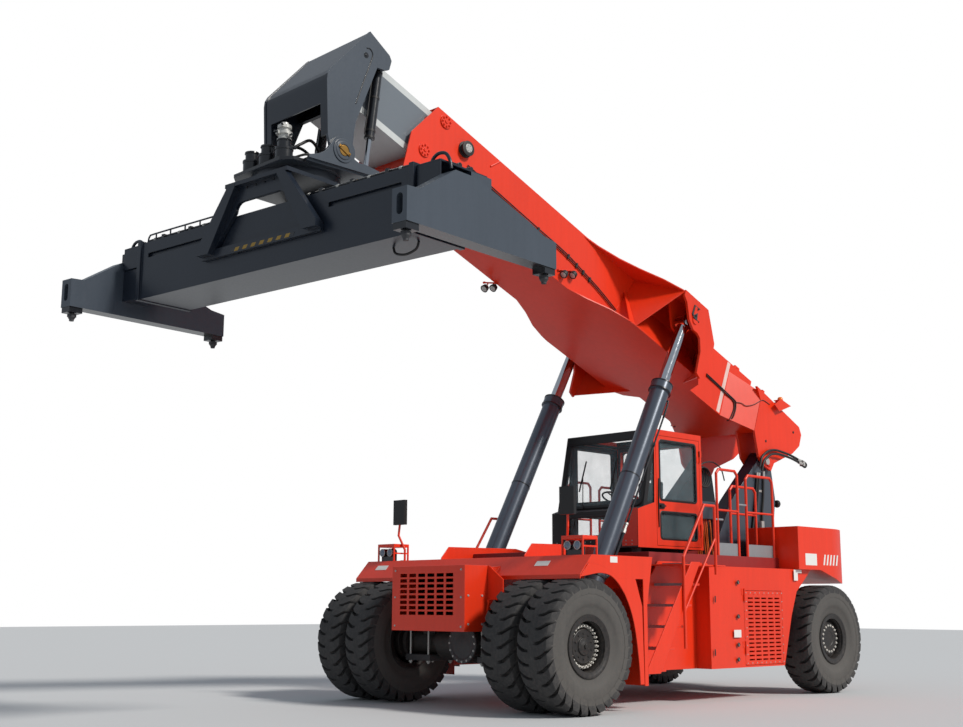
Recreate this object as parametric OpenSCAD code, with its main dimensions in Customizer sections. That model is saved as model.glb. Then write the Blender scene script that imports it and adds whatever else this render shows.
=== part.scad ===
// Reach stacker for container terminals, in millimetres.
// +X is forward, +Y is the machine's left, +Z is up, and the ground is at Z = 0.
// Inside the modules X is measured from the front axle. The origin lies under
// the middle of the machine's overall length.

/* [Chassis] */
// Distance between the front and the rear axle
wheelbase = 6000; // [5600:50:6600]
// Height of the top of the two main chassis beams
beam_top = 1790; // [1700:10:1850]
// Height of the underside of the chassis between the axles
beam_low = 640; // [560:10:720]
// Height of the underside of the chassis over the axles
beam_over = 1150; // [1100:10:1200]
// Half of the width over the main chassis beams
beam_half_w = 660; // [600:10:680]
// Width of one box-section chassis beam
beam_w = 220; // [160:10:260]
// Height of the cab deck above the ground
deck_top = 2000; // [1900:10:2100]

/* [Wheels] */
// Outer radius of the tyres
tyre_r = 805; // [780:5:840]
// Section width of the tyres
tyre_w = 500; // [460:5:520]
// Radius of the rim's bead seat
rim_r = 318; // [300:1:340]
// Middle of the outer front tyre from the centre line
front_outer_y = 1894; // [1880:1:1950]
// Middle of the inner front tyre from the centre line
front_inner_y = 1293; // [1280:1:1340]
// Middle of the rear tyre from the centre line
rear_y = 1604; // [1580:1:1650]
// Kingpin of the rear wheels from the centre line
kingpin_y = 1270; // [1230:5:1300]

/* [Side housings] */
// Outer face of the side housings from the centre line
side_y = 1720; // [1660:10:1800]
// Front end of the side housings behind the front axle
side_front = 2980; // [2800:10:3100]
// Height of the bottom of the side housings
side_bottom = 440; // [400:10:600]
// Height of the top of the side housings
side_top = 1830; // [1750:10:1900]

/* [Cab] */
// Half of the cab's width
cab_half_w = 820; // [740:5:840]
// Roof height above the ground
cab_top = 3820; // [3600:10:3900]
// Front of the cab's roof behind the front axle
cab_front = 2940; // [2850:10:3000]
// Rear wall of the cab behind the front axle
cab_rear = 4120; // [4050:10:4250]

/* [Boom] */
// Boom pivot behind the front axle
pivot_back = 6030; // [5900:10:6200]
// Height of the boom pivot
pivot_z = 3580; // [3450:10:3700]
// Angle of the parked boom above the ground
boom_angle = 21.5; // [15:0.5:30]
// Half of the outer boom's width
boom_half_w = 500; // [460:5:520]
// Underside of the outer boom above the pivot line
boom_low = 310; // [280:10:360]
// Top of the outer boom above the pivot line
boom_high = 1260; // [1200:10:1300]
// Front end of the outer boom from the pivot
boom_front = 8360; // [8100:10:8600]
// Wall thickness of the boom sections
boom_wall = 18; // [12:1:24]
// Free length of the inner boom in front of the outer one
inner_show = 740; // [600:10:1200]
// Half of the inner boom's width
inner_half_w = 415; // [380:5:430]

/* [Lift cylinders] */
// Lift cylinder centre line from the middle of the machine
lift_y = 1050; // [1040:5:1080]
// Lower pin behind the front axle
lift_base_back = 1200; // [1150:10:1300]
// Height of the lower pin
lift_base_z = 1380; // [1330:10:1450]
// Upper pin from the boom pivot, along the boom
lift_pin_u = 3075; // [3000:5:3150]
// Upper pin above the pivot line, square to the boom
lift_pin_v = 790; // [750:10:820]
// Radius of the cylinder barrel
lift_barrel_r = 140; // [120:5:160]
// Radius of the chromed rod
lift_rod_r = 85; // [70:5:95]
// Length of the barrel above the lower pin
lift_barrel_l = 3500; // [3300:10:3520]

/* [Spreader] */
// Head pin below the pivot line, square to the boom
head_v = -390; // [-450:10:-300]
// Slewing axis in front of the head pin
slew_ahead = 170; // [100:10:250]
// Slewing angle of the parked spreader
slew_angle = 5.5; // [-10:0.5:10]
// Length over the end beams with the spreader closed in
spreader_l = 6058; // [6000:1:6100]
// Distance between the twistlocks of one end beam
lock_dx = 2259; // [2200:1:2300]
// From the spreader's end to the middle of a twistlock
lock_inset = 102.5; // [95:0.5:110]
// Height of the end beams' underside
spreader_low = 5000; // [4950:10:5050]
// Half length of the main beam
beam_half_l = 2450; // [2400:10:2500]

/* [Hidden] */

$fn = 48;
round_fn = 144;
// Radial running clearance of pins, rods and bores
run = 0.05;
// Side gap between two moving faces
gap = 6;
// Gap between a slide pad or a rest and its seat
seat = 0.3;

red = [0.86, 0.2, 0.13];
dark_red = [0.6, 0.1, 0.09];
navy = [0.14, 0.19, 0.27];
steel_grey = [0.42, 0.46, 0.5];
light_grey = [0.75, 0.78, 0.78];
graphite = [0.18, 0.19, 0.21];
black = [0.06, 0.06, 0.07];
chrome = [0.85, 0.86, 0.88];
rubber = [0.16, 0.16, 0.17];
glass_tint = [0.35, 0.45, 0.5, 0.5];

// Places worked out from the driving dimensions
pivot_x = -pivot_back;
rear_x = -wheelbase;
axle_z = tyre_r;
lock_dy = spreader_l - 2 * lock_inset;
lift_base_x = -lift_base_back;
lift_pin_x = pivot_x + lift_pin_u * cos(boom_angle) - lift_pin_v * sin(boom_angle);
lift_pin_z = pivot_z + lift_pin_u * sin(boom_angle) + lift_pin_v * cos(boom_angle);
lift_pin_r = 60;
lift_lean = atan((lift_base_x - lift_pin_x) / (lift_pin_z - lift_base_z));
lift_length = sqrt(pow(lift_base_x - lift_pin_x, 2) + pow(lift_pin_z - lift_base_z, 2));
head_u = boom_front + inner_show + 190;
head_x = pivot_x + head_u * cos(boom_angle) - head_v * sin(boom_angle);
head_z = pivot_z + head_u * sin(boom_angle) + head_v * cos(boom_angle);
slew_x = head_x + slew_ahead;
end_half_x = lock_dx / 2 + 100;
counter_tail = 7100;
nose = slew_x + end_half_x * cos(slew_angle) + spreader_l / 2 * sin(slew_angle);
front_axle_x = (counter_tail - nose) / 2;

// Common shapes

// Moves a shape from the front axle's place to the part's own origin
module place() {
    translate([front_axle_x, 0, 0]) children();
}

// Draws a shape on the left and its mirror image on the right
module both_sides() {
    children();
    mirror([0, 1, 0]) children();
}

// Draws a shape on the left for side 1 and mirrored for side -1
module on_side(side) {
    if (side > 0) children();
    else mirror([0, 1, 0]) children();
}

// Plate with an outline in the X-Z plane, from y to y + t
module side_plate(y, t, outline) {
    translate([0, y + t, 0]) rotate([90, 0, 0]) linear_extrude(t) polygon(outline);
}

// Plate with an outline in the Y-Z plane, from x to x + t
module front_plate(x, t, outline) {
    translate([x, 0, 0]) rotate([90, 0, 90]) linear_extrude(t) polygon(outline);
}

// Block from one corner to the opposite one
module block(low, high) {
    translate(low) cube(high - low);
}

// Round bar across the machine at x, z, from y0 to y1
module cross_bar(x, z, r, y0, y1, fn = 48) {
    translate([x, y1, z]) rotate([90, 0, 0]) cylinder(r = r, h = y1 - y0, $fn = fn);
}

// Round bar between two points
module bar(a, b, r, fn = 16) {
    d = b - a;
    l = norm(d);
    translate(a) rotate([0, acos(d[2] / l), atan2(d[1], d[0])]) cylinder(r = r, h = l, $fn = fn);
}

// Bent tube through a list of points, with round corners
module tube_run(points, r, fn = 16, ball = 1.04) {
    for (i = [0 : len(points) - 2]) bar(points[i], points[i + 1], r, fn);
    for (i = [1 : len(points) - 2]) translate(points[i]) sphere(r = r * ball, $fn = fn);
}

// Points on an arc around c, from angle a0 to a1 in n steps
function arc(c, r, a0, a1, n = 6) = [for (i = [0 : n]) c + r * [cos(a0 + (a1 - a0) * i / n),
    sin(a0 + (a1 - a0) * i / n)]];

// Body of n flat sides around the Y axis, from a closed table of [y, radius]
module flat_ring(profile, n) {
    m = len(profile);
    polyhedron(points = [for (i = [0 : n - 1], p = profile) [p[1] * cos(360 * i / n), p[0],
        p[1] * sin(360 * i / n)]], faces = [for (i = [0 : n - 1], j = [0 : m - 1]) let (k = (i + 1) % n,
        l = (j + 1) % m)
            [i * m + j, k * m + j, k * m + l, i * m + l]]);
}

// Four corners in one plane: the last one slides along X onto the plane of the others
function in_one_plane(c) = let (n = cross(c[1] - c[0], c[2] - c[0]))
    [c[0], c[1], c[2], c[3] - [n * (c[3] - c[0]) / n[0], 0, 0]];

// Flat sheet through three or four corners, thickened along a vector
module sheet(corners, thick) {
    n = len(corners);
    facing = cross(corners[1] - corners[0], corners[2] - corners[0]) * thick;
    ring = facing < 0 ? corners : [for (i = [n - 1 : -1 : 0]) corners[i]];
    polyhedron(points = concat(ring, [for (c = ring) c + thick]),
        faces = concat([[for (i = [n - 1 : -1 : 0]) i]], [[for (i = [0 : n - 1]) n + i]],
        [for (i = [0 : n - 1]) [i, (i + 1) % n, n + (i + 1) % n, n + i]]));
}

// Puts a shape drawn along the boom (X) and square to it (Z) at the boom's angle
module in_boom() {
    translate([pivot_x, 0, pivot_z]) rotate([0, -boom_angle, 0]) children();
}

// Puts a shape drawn upright on the lower pin at a lift cylinder's place
module in_lift() {
    translate([lift_base_x, lift_y, lift_base_z]) rotate([0, -lift_lean, 0]) children();
}

// Turns a shape drawn around the slewing axis to the parked angle
module in_slew() {
    translate([slew_x, 0, 0]) rotate([0, 0, slew_angle]) children();
}

// Chassis

bay_rear = 6420;
foot_ear_t = 45;
foot_half_w = 85;
cross_x = 270;
cross_t = 18;

module frame() color(red) place() {
    front_plate(cross_x, cross_t, [[-950, 1350], [950, 1350], [950, 1600], [700, 1775], [-700, 1775],
        [-950, 1600]]);
    side_plate(-fender_in, 2 * fender_in, [[-400, fender_top], [-fender_front, fender_top], [150, 1650],
        [150, 1600], [150 - fender_t, 1600], [150 - fender_t, 1645],
        [-fender_front - 8, fender_top - fender_t], [-400, fender_top - fender_t]]);
    both_sides() {
        side_plate(beam_half_w - beam_w, beam_w, [[cross_x + 5, 1750], [cross_x + 5, beam_over],
            [-350, beam_over], [-800, beam_low], [rear_x + 900, beam_low], [rear_x + 450, beam_over],
            [-bay_rear, beam_over], [-bay_rear, beam_top], [-100, beam_top]]);
        lift_foot();
    }
    block([-300, -beam_half_w, beam_top - 300], [120, beam_half_w, 1640]);
    block([-2700, -beam_half_w, beam_low + 40], [-2400, beam_half_w, beam_top]);
    block([-5300, -beam_half_w, beam_top - 500], [-4900, beam_half_w, beam_top]);
}

// Two ears and the cross tube that carry the lower pin of a lift cylinder
module lift_foot() {
    ear_in = lift_y - foot_half_w - gap - foot_ear_t;
    ear_out = lift_y + foot_half_w + gap;
    outline = [[lift_base_x + 160, 900], [lift_base_x + 170, lift_base_z],
        [lift_base_x + 90, lift_base_z + 150], [lift_base_x - 90, lift_base_z + 150],
        [lift_base_x - 170, lift_base_z], [lift_base_x - 260, 900]];
    difference() {
        union() {
            side_plate(ear_in, foot_ear_t, outline);
            side_plate(ear_out, foot_ear_t, outline);
            block([lift_base_x - 260, beam_half_w - 20, 900], [lift_base_x + 160, ear_out + foot_ear_t, 1080]);
        }
        cross_bar(lift_base_x, lift_base_z, 60 + run, ear_in - 10, ear_out + foot_ear_t + 10, round_fn);
    }
}

fender_y = 2100;
fender_in = 780;
fender_t = 14;
fender_top = 1890;
fender_front = 70;
fender_back = 1120;
arch_r = 985;

module fenders() color(red) place() both_sides() {
    // Top sheet with its sloped front and the turned-down lip
    side_plate(fender_in, fender_y - fender_in,
        [[-fender_back - 120, fender_top], [-fender_front, fender_top], [150, 1650], [150, 1600],
        [150 - fender_t, 1600], [150 - fender_t, 1645], [-fender_front - 8, fender_top - fender_t],
        [-fender_back - 120, fender_top - fender_t]]);
    // Side skirt around the wheel
    difference() {
        side_plate(fender_y - fender_t, fender_t, [[140, 1610], [-fender_front, fender_top],
            [-fender_back - 120, fender_top], [-fender_back, 1290], [-fender_back, 310],
            [-fender_back + 70, 310], [-fender_back + 75, 1610]]);
        cross_bar(0, axle_z, arch_r, fender_y - 50, fender_y + 50, round_fn);
    }
    // Mudguard behind the wheels
    block([-fender_back, 1400, 310], [-fender_back + fender_t, fender_y - fender_t, 1500]);
    side_plate(fender_in, fender_t, [[-fender_back, 1500], [-fender_back, fender_top - fender_t + 1],
        [-fender_back - 110, fender_top - fender_t + 1], [-fender_back - 60, 1500]]);
    lamp_cage();
}

// Sheets that stand on the fenders' inner edges and shield the cylinders
module guards() color(red) place() both_sides() side_plate(fender_in, fender_t,
    [[-270, fender_top + seat], [-270, 1920], [-410, 2074], [-1750, 2090], [-2000, 2045], [-2000, 1880],
    [-fender_back - 120 - seat, 1840], [-fender_back - 120 - seat, fender_top + seat]]);

cage_x = [-380, -100];
cage_y = [1580, 1930];
cage_top = 2130;

// Angle-iron cage with a roof around a pair of work lamps
module lamp_cage() {
    for (x = [cage_x[0], cage_x[1] - 20], y = [cage_y[0], cage_y[1] - 20]) block([x, y, fender_top - 2],
        [x + 20, y + 20, cage_top]);
    block([cage_x[0], cage_y[0], cage_top - 45], [cage_x[1], cage_y[1], cage_top]);
    for (y = [cage_y[0], cage_y[1] - 20]) block([cage_x[0], y, 1990], [cage_x[1], y + 20, 2010]);
}

grille_rear = cross_x + cross_t;
grille_front = 690;
grille_half_w = 685;

module grille_box() color(red) place() {
    low = 960;
    high = 1775;
    t = 12;
    difference() {
        block([grille_rear, -grille_half_w, low], [grille_front, grille_half_w, high]);
        block([grille_rear - 1, -grille_half_w + t, low + t], [grille_front - t, grille_half_w - t, high - t]);
        for (row = [0 : 7], col = [0 : 5]) translate([0, -530 + col * 174, 1160 + row * 68])
            block([grille_front - 40, 0, 0], [grille_front + 10, 132, 42]);
    }
}

spindle_r = 110;

module drive_axle() color(black) place() translate([0, 0, axle_z]) {
    rotate([90, 0, 0]) cylinder(r = 165, h = 1960, center = true, $fn = round_fn);
    rotate([90, 0, 0]) cylinder(r = 230, h = 700, center = true, $fn = round_fn);
    translate([60, 230, 0]) rotate([0, 90, 0]) cylinder(r = 250, h = grille_rear - 65, $fn = round_fn);
    both_sides() {
        translate([0, 980, 0]) rotate([90, 0, 0]) cylinder(r = 240, h = 60, $fn = round_fn);
        translate([0, 1400, 0]) rotate([90, 0, 0]) cylinder(r = spindle_r, h = 430, $fn = round_fn);
        block([-150, beam_half_w - beam_w, 100], [150, beam_half_w, beam_over - axle_z]);
    }
    // Propeller shaft to the gearbox
    translate([-160, 0, 0]) rotate([0, -90, 0]) cylinder(r = 60, h = 2000, $fn = 32);
}

fork_top = 175;

module steer_axle() color(black) place() translate([rear_x, 0, axle_z]) {
    block([-150, -900, -140], [150, 900, 160]);
    both_sides() difference() {
        union() {
            block([-110, 850, -fork_top], [110, kingpin_y - 120, fork_top]);
            translate([0, kingpin_y, -fork_top]) cylinder(r = 95, h = 2 * fork_top, $fn = round_fn);
            block([-95, kingpin_y - 130, -fork_top], [95, kingpin_y, fork_top]);
        }
        translate([0, 0, -fork_top + 45]) block([-120, kingpin_y - 105, 0],
            [120, kingpin_y + 120, 2 * fork_top - 90]);
        translate([0, kingpin_y, -fork_top - 5]) cylinder(r = 50 + run, h = 2 * fork_top + 10, $fn = round_fn);
    }
    // Trunnions that carry the axle under the chassis
    block([-180, -beam_half_w, 120], [-110, beam_half_w, beam_over - axle_z]);
    block([110, -beam_half_w, 120], [180, beam_half_w, beam_over - axle_z]);
    // Steering cylinder along the axle
    translate([210, 400, 0]) rotate([90, 0, 0]) cylinder(r = 70, h = 800, $fn = 32);
    translate([210, 700, 0]) rotate([90, 0, 0]) cylinder(r = 32, h = 1400, $fn = 32);
}

module engine() color(graphite) place() {
    block([-4800, -beam_half_w + beam_w + seat, 900], [-3200, beam_half_w - beam_w - seat, 1700]);
}

counter_y = 1800;
counter_front = 5150;

module counterweight() color(red) place() intersection() {
    side_plate(-counter_y, 2 * counter_y, concat([[-counter_front, side_top], [-counter_front, 2470]],
        arc([-6550, 2170], 300, 90, 135, 4), [[-7020, 2190]], arc([-6980, 2110], 120, 150, 180, 2),
        [[-counter_tail, 1900], [-7060, 1850], [-6660, 1640], [-bay_rear, 1640], [rear_x + 250, side_top]]));
    difference() {
        translate([0, 0, 1500]) linear_extrude(1200) union() {
            polygon([[-counter_front, -counter_y], [-counter_front, counter_y], [-6000, counter_y],
                [-6000, -counter_y]]);
            hull() for (s = [-1, 1]) translate([-counter_tail + 1000, s * (counter_y - 1000)])
                circle(r = 1000, $fn = round_fn);
            translate([-6100, -counter_y]) square([200, 2 * counter_y]);
        }
        // Bay for the towers and the boom's root
        block([-bay_rear, -beam_half_w - 240, 1400], [-5100, beam_half_w + 240, 3000]);
    }
}

tower_in = 470;
tower_out = 700;
tower_head_r = 170;
pivot_pin_r = 70;

module tower() color(navy) place() both_sides() difference() {
    union() {
        side_plate(tower_in, tower_out - tower_in,
            [[-4350, beam_top], [-5050, 2900], [pivot_x + 150, pivot_z + 80], [pivot_x - 160, pivot_z - 50],
            [-6290, 3000], [-6180, 2300], [-6180, beam_top]]);
        cross_bar(pivot_x, pivot_z, tower_head_r, tower_in, tower_out, round_fn);
    }
    cross_bar(pivot_x, pivot_z, pivot_pin_r + run, tower_in - 10, tower_out + 10, round_fn);
}

module side_housings() color(red) place() both_sides() {
    difference() {
        side_plate(beam_half_w, side_y - beam_half_w, [[-side_front, side_bottom], [-side_front, side_top],
            [rear_x + 400, side_top], [rear_x + 820, 1500], [rear_x + 980, 1150],
            [rear_x + 1210, side_bottom]]);
        service_bay();
        tower_slot(beam_top);
    }
    for (z = [620, 1350]) hinge_knuckle(-door_front + gap / 2, side_y, z + knuckle_h + seat, 1);
}

door_rear = wheelbase - 1240;
door_front = door_rear - 960;
door_low = 470;
door_high = 1500;
door_t = 30;
knuckle_r = 12;
knuckle_h = 90;

module service_bay() {
    block([-door_rear - gap, side_y - 420, door_low - gap], [-door_front + gap, side_y + 10, door_high + gap]);
}

module service_door(side) color(red) place() on_side(side) {
    difference() {
        block([-door_rear, side_y - door_t, door_low], [-door_front, side_y, door_high]);
        for (col = [0 : 4], row = [0 : 15])
            block([-door_rear + 55 + col * 170, side_y - door_t - 5, 530 + row * 57],
                [-door_rear + 185 + col * 170, side_y + 5, 552 + row * 57]);
    }
    for (z = [620, 1350]) hinge_knuckle(-door_front + gap / 2, side_y, z, -1);
}

// Hinge knuckle on the outer face at y, with its leaf towards the side given
module hinge_knuckle(x, y, z, leaf) {
    translate([x, y + knuckle_r, z]) cylinder(r = knuckle_r, h = knuckle_h, $fn = 32);
    translate([leaf > 0 ? x : x - 60, y - 0.5, z]) cube([60, 5, knuckle_h]);
}

// Slot in the deck and the housings for the foot of one tower
module tower_slot(z) {
    block([rear_x - 200, tower_in - seat, z], [-4350 + seat, tower_out + seat, deck_top + 10]);
}

module deck() color(dark_red) place() {
    difference() {
        block([-counter_front + seat, -1450, side_top], [-2000, 1450, deck_top]);
        both_sides() tower_slot(side_top - 10);
    }
    // Hood between the cab and the towers
    color(steel_grey) block([-5000, -400, deck_top], [-4250, 400, 2750]);
    // Cross beams between the fenders
    color(red) block([-1150, -fender_in, 1850], [-880, fender_in, 1990]);
}

rail_r = 20;
stair_rail_y = 2000 + rail_r + seat;

module rails() color(red) place() both_sides() {
    // Columns: y, front post, rear post, top
    for (h = [[1420, -3640, -4160, 3240], [1420, -4380, -5080, 3200], [1130, -4390, -5060, 3060]]) {
        tube_run([[h[1], h[0], deck_top], [h[1], h[0], h[3] - 60], [h[1] - 60, h[0], h[3]],
            [h[2] + 60, h[0], h[3]], [h[2], h[0], h[3] - 60], [h[2], h[0], deck_top]], rail_r);
        bar([h[1], h[0], 2650], [h[2], h[0], 2650], 16);
    }
    // Toe boards between the posts
    block([-4160, 1408, deck_top], [-3640, 1414, 2180]);
    block([-5080, 1408, deck_top], [-4380, 1414, 2180]);
    // Handrail along the stairs
    tube_run([[-2000, stair_rail_y, 740], [-2000, stair_rail_y, 1920], [-2480, stair_rail_y, 2620],
        [-2720, stair_rail_y, 2620], [-2720, stair_rail_y, 1700]], rail_r);
    bar([-2005, stair_rail_y, 1220], [-2715, stair_rail_y, 2180], 15);
}

module stairs() color(red) place() both_sides() {
    for (i = [0 : 5]) {
        x = -1300 - i * 190;
        block([x - 330, 1480, 460 + i * 272], [x, 1984, 490 + i * 272]);
    }
    side_plate(1460, 20, [[-1180, 440], [-1180, 600], [-2160, 1880], [-2980, 1880], [-2980, 440]]);
    side_plate(1984, 16, [[-1250, 440], [-1250, 520], [-2200, 1860], [-2400, 1860], [-1500, 440]]);
    block([-2980, 1470, 1810], [-2000, 2000, side_top]);
}

cab_t = 60;
cab_low = deck_top + 100;
door_zone_front = 3010;
door_zone_rear = 4060;
door_zone_top = cab_top - 90;

// Outline of the cab's side, with the windscreen leaning back
cab_outline = [[-2570, cab_low], [-2570, 2640], [-cab_front + 240, 2680], [-cab_front, cab_top],
    [-cab_rear, cab_top], [-cab_rear, cab_low]];
cab_inner = [[-2570 - cab_t, cab_low + cab_t], [-2570 - cab_t, 2640], [-cab_front + 240 - cab_t, 2690],
    [-cab_front - cab_t, cab_top - cab_t], [-cab_rear + cab_t, cab_top - cab_t],
    [-cab_rear + cab_t, cab_low + cab_t]];

corner_pane = [[-2790, 2750], [-2955, 2750], [-2975, 3560]];

module cab_shell() color(red) place() {
    difference() {
        side_plate(-cab_half_w, 2 * cab_half_w, cab_outline);
        side_plate(-cab_half_w + cab_t, 2 * (cab_half_w - cab_t), cab_inner);
        both_sides() block([-door_zone_rear - gap, cab_half_w - cab_t - 10, cab_low + 40 - gap],
            [-door_zone_front + gap, cab_half_w + 10, door_zone_top + gap]);
        // Windscreen, front corner windows, rear window and roof window
        side_plate(-cab_half_w + 60, 2 * cab_half_w - 120,
            [[-2400, 2720], [-2760, 2720], [-3060, cab_top - 120], [-2700, cab_top - 120]]);
        block([-cab_rear - 10, -cab_half_w + 120, 2750], [-cab_rear + cab_t + 10, cab_half_w - 120,
            cab_top - 140]);
        block([-3900, -cab_half_w + 180, cab_top - cab_t - 10], [-3200, cab_half_w - 180, cab_top + 10]);
        block([-2570 - cab_t - 5, -500, cab_low + 180], [-2500, 500, 2560]);
        both_sides() side_plate(cab_half_w - cab_t - 5, cab_t + 10, corner_pane);
    }
    both_sides() for (z = [2300, 3400]) hinge_knuckle(-door_zone_rear - gap / 2, cab_half_w,
        z + knuckle_h + seat, -1);
    // Feet on the deck
    for (x = [-2800, -3900], y = [-600, 600]) translate([x, y, deck_top]) cylinder(r = 70, h = 100);
}

module cab_glass() color(glass_tint) place() {
    side_plate(-cab_half_w + 60 + seat, 2 * cab_half_w - 120 - 2 * seat,
        [[-2722, 2720 + seat], [-2732, 2720 + seat], [-2974, cab_top - 120 - seat],
        [-2964, cab_top - 120 - seat]]);
    block([-cab_rear + 20, -cab_half_w + 120 + seat, 2750 + seat], [-cab_rear + 30, cab_half_w - 120 - seat,
        cab_top - 140 - seat]);
    block([-3900 + seat, -cab_half_w + 180 + seat, cab_top - 40],
        [-3200 - seat, cab_half_w - 180 - seat, cab_top - 30]);
    block([-2570 - 40, -500 + seat, cab_low + 180 + seat], [-2570 - 30, 500 - seat, 2560 - seat]);
    both_sides() side_plate(cab_half_w - 30, 8, [[-2795, 2750 + seat], [-2955 + seat, 2750 + seat],
        [-2974, 3540]]);
}

module cab_door(side) color(red) place() on_side(side) {
    difference() {
        block([-door_zone_rear, cab_half_w - cab_t, cab_low + 40],
            [-door_zone_front, cab_half_w, door_zone_top]);
        block([-door_zone_rear + 90, cab_half_w - cab_t - 5, 2800],
            [-door_zone_front - 90, cab_half_w + 5, door_zone_top - 70]);
        block([-door_zone_rear + 90, cab_half_w - cab_t - 5, 2240],
            [-door_zone_front - 90, cab_half_w + 5, 2620]);
    }
    for (z = [2300, 3400]) hinge_knuckle(-door_zone_rear - gap / 2, cab_half_w, z, 1);
}

module cab_interior() color(black) place() {
    floor_z = cab_low + cab_t;
    block([-3900, -220, floor_z], [-3500, 220, floor_z + 300]);
    block([-3920, -260, floor_z + 300], [-3420, 260, floor_z + 430]);
    block([-3980, -240, floor_z + 430], [-3860, 240, floor_z + 1150]);
    block([-3850, 260, floor_z + 300], [-3350, 380, floor_z + 560]);
    block([-3850, -380, floor_z + 300], [-3350, -260, floor_z + 560]);
    bar([-2820, 0, floor_z + 16], [-3060, 0, floor_z + 700], 40);
    translate([-3060, 0, floor_z + 700]) rotate([0, -25, 0]) rotate_extrude() translate([190, 0])
        circle(r = 16, $fn = 16);
    translate([-3060, 0, floor_z + 700]) rotate([0, -25, 0]) cube([380, 30, 14], center = true);
}

module lamps() color(black) place() both_sides() {
    for (y = [1675, 1835]) translate([-150, y, 2010]) rotate([0, 90, 0]) cylinder(r = 55, h = 90,
        center = true);
    block([-190, 1620, fender_top], [-140, 1890, 1990]);
}

module mirrors() color(black) place() both_sides() {
    block([-240, 1470, 2400], [-190, 1710, 2750]);
    tube_run([[-260, 1530, fender_top + 5], [-260, 1530, 2050], [-200, 1600, 2250], [-215, 1590, 2450]], 16,
        12, 1.1);
    block([-310, 1490, fender_top], [-210, 1570, fender_top + 12]);
}

// Wheels

lugs = 14;
lug_deep = 45;
lug_half = 62;
tyre_sides = 20;

// Tyre around the Y axis with staggered lugs on both shoulders
module tyre() {
    h = tyre_w / 2;
    bore = rim_r / cos(180 / tyre_sides);
    top = sqrt(tyre_r * tyre_r - lug_half * lug_half);
    flat_ring([[-h + 65, bore], [-h, rim_r + 240], [-h + 50, tyre_r - lug_deep], [h - 50, tyre_r - lug_deep],
        [h, rim_r + 240], [h - 65, bore]], tyre_sides);
    for (i = [0 : lugs - 1], s = [-1, 1]) rotate([0, 360 / lugs * (i + s / 4), 0]) scale([1, s, 1])
        translate([-lug_half, 0, 0]) rotate([90, 0, 90]) linear_extrude(2 * lug_half)
            polygon([[12, tyre_r - lug_deep - 30], [12, top], [h - 45, top], [h - 2, top - 80]]);
}

module rim_barrel() rotate([90, 0, 0]) rotate_extrude($fn = round_fn)
    polygon([[rim_r - 20, -190], [rim_r - seat, -190], [rim_r - seat, 190], [rim_r - 20, 190]]);

module tyres_front(side) color(rubber) place() on_side(side) {
    translate([0, front_outer_y, axle_z]) tyre();
    translate([0, front_inner_y, axle_z]) tyre();
}

module rims_front(side) color(black) place() on_side(side) translate([0, 0, axle_z]) difference() {
    union() {
        translate([0, front_outer_y, 0]) rim_barrel();
        translate([0, front_inner_y, 0]) rim_barrel();
        cross_bar(0, 0, rim_r - 10, front_inner_y + 150, front_inner_y + 180, round_fn);
        cross_bar(0, 0, rim_r - 10, front_outer_y - 180, front_outer_y - 150, round_fn);
        cross_bar(0, 0, 240, 1060, front_outer_y - 20, round_fn);
        cross_bar(0, 0, 170, 1060, front_outer_y + 90, round_fn);
    }
    cross_bar(0, 0, spindle_r + run, 1050, 1410, round_fn);
}

module tyre_rear(side) color(rubber) place() on_side(side) translate([rear_x, rear_y, axle_z]) tyre();

stub_r = 75;

module rim_rear(side) color(black) place() on_side(side) translate([rear_x, 0, axle_z]) difference() {
    union() {
        translate([0, rear_y, 0]) rim_barrel();
        cross_bar(0, 0, rim_r - 10, rear_y + 60, rear_y + 90, round_fn);
        cross_bar(0, 0, 150, kingpin_y + 150, rear_y + 90, round_fn);
    }
    cross_bar(0, 0, stub_r + run, kingpin_y + 140, rear_y + 20, round_fn);
}

module knuckle(side) color(black) place() on_side(side) translate([rear_x, 0, axle_z]) {
    h = fork_top - 45 - gap;
    translate([0, kingpin_y, -fork_top]) cylinder(r = 50, h = 2 * fork_top, $fn = round_fn);
    translate([0, kingpin_y, -h]) cylinder(r = 90, h = 2 * h, $fn = round_fn);
    cross_bar(0, 0, 110, kingpin_y, kingpin_y + 140, round_fn);
    cross_bar(0, 0, stub_r, kingpin_y, rear_y + 10, round_fn);
}

// Boom

cheek_in = 400;
cheek_out = 770;
cheek_t = 40;

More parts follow.
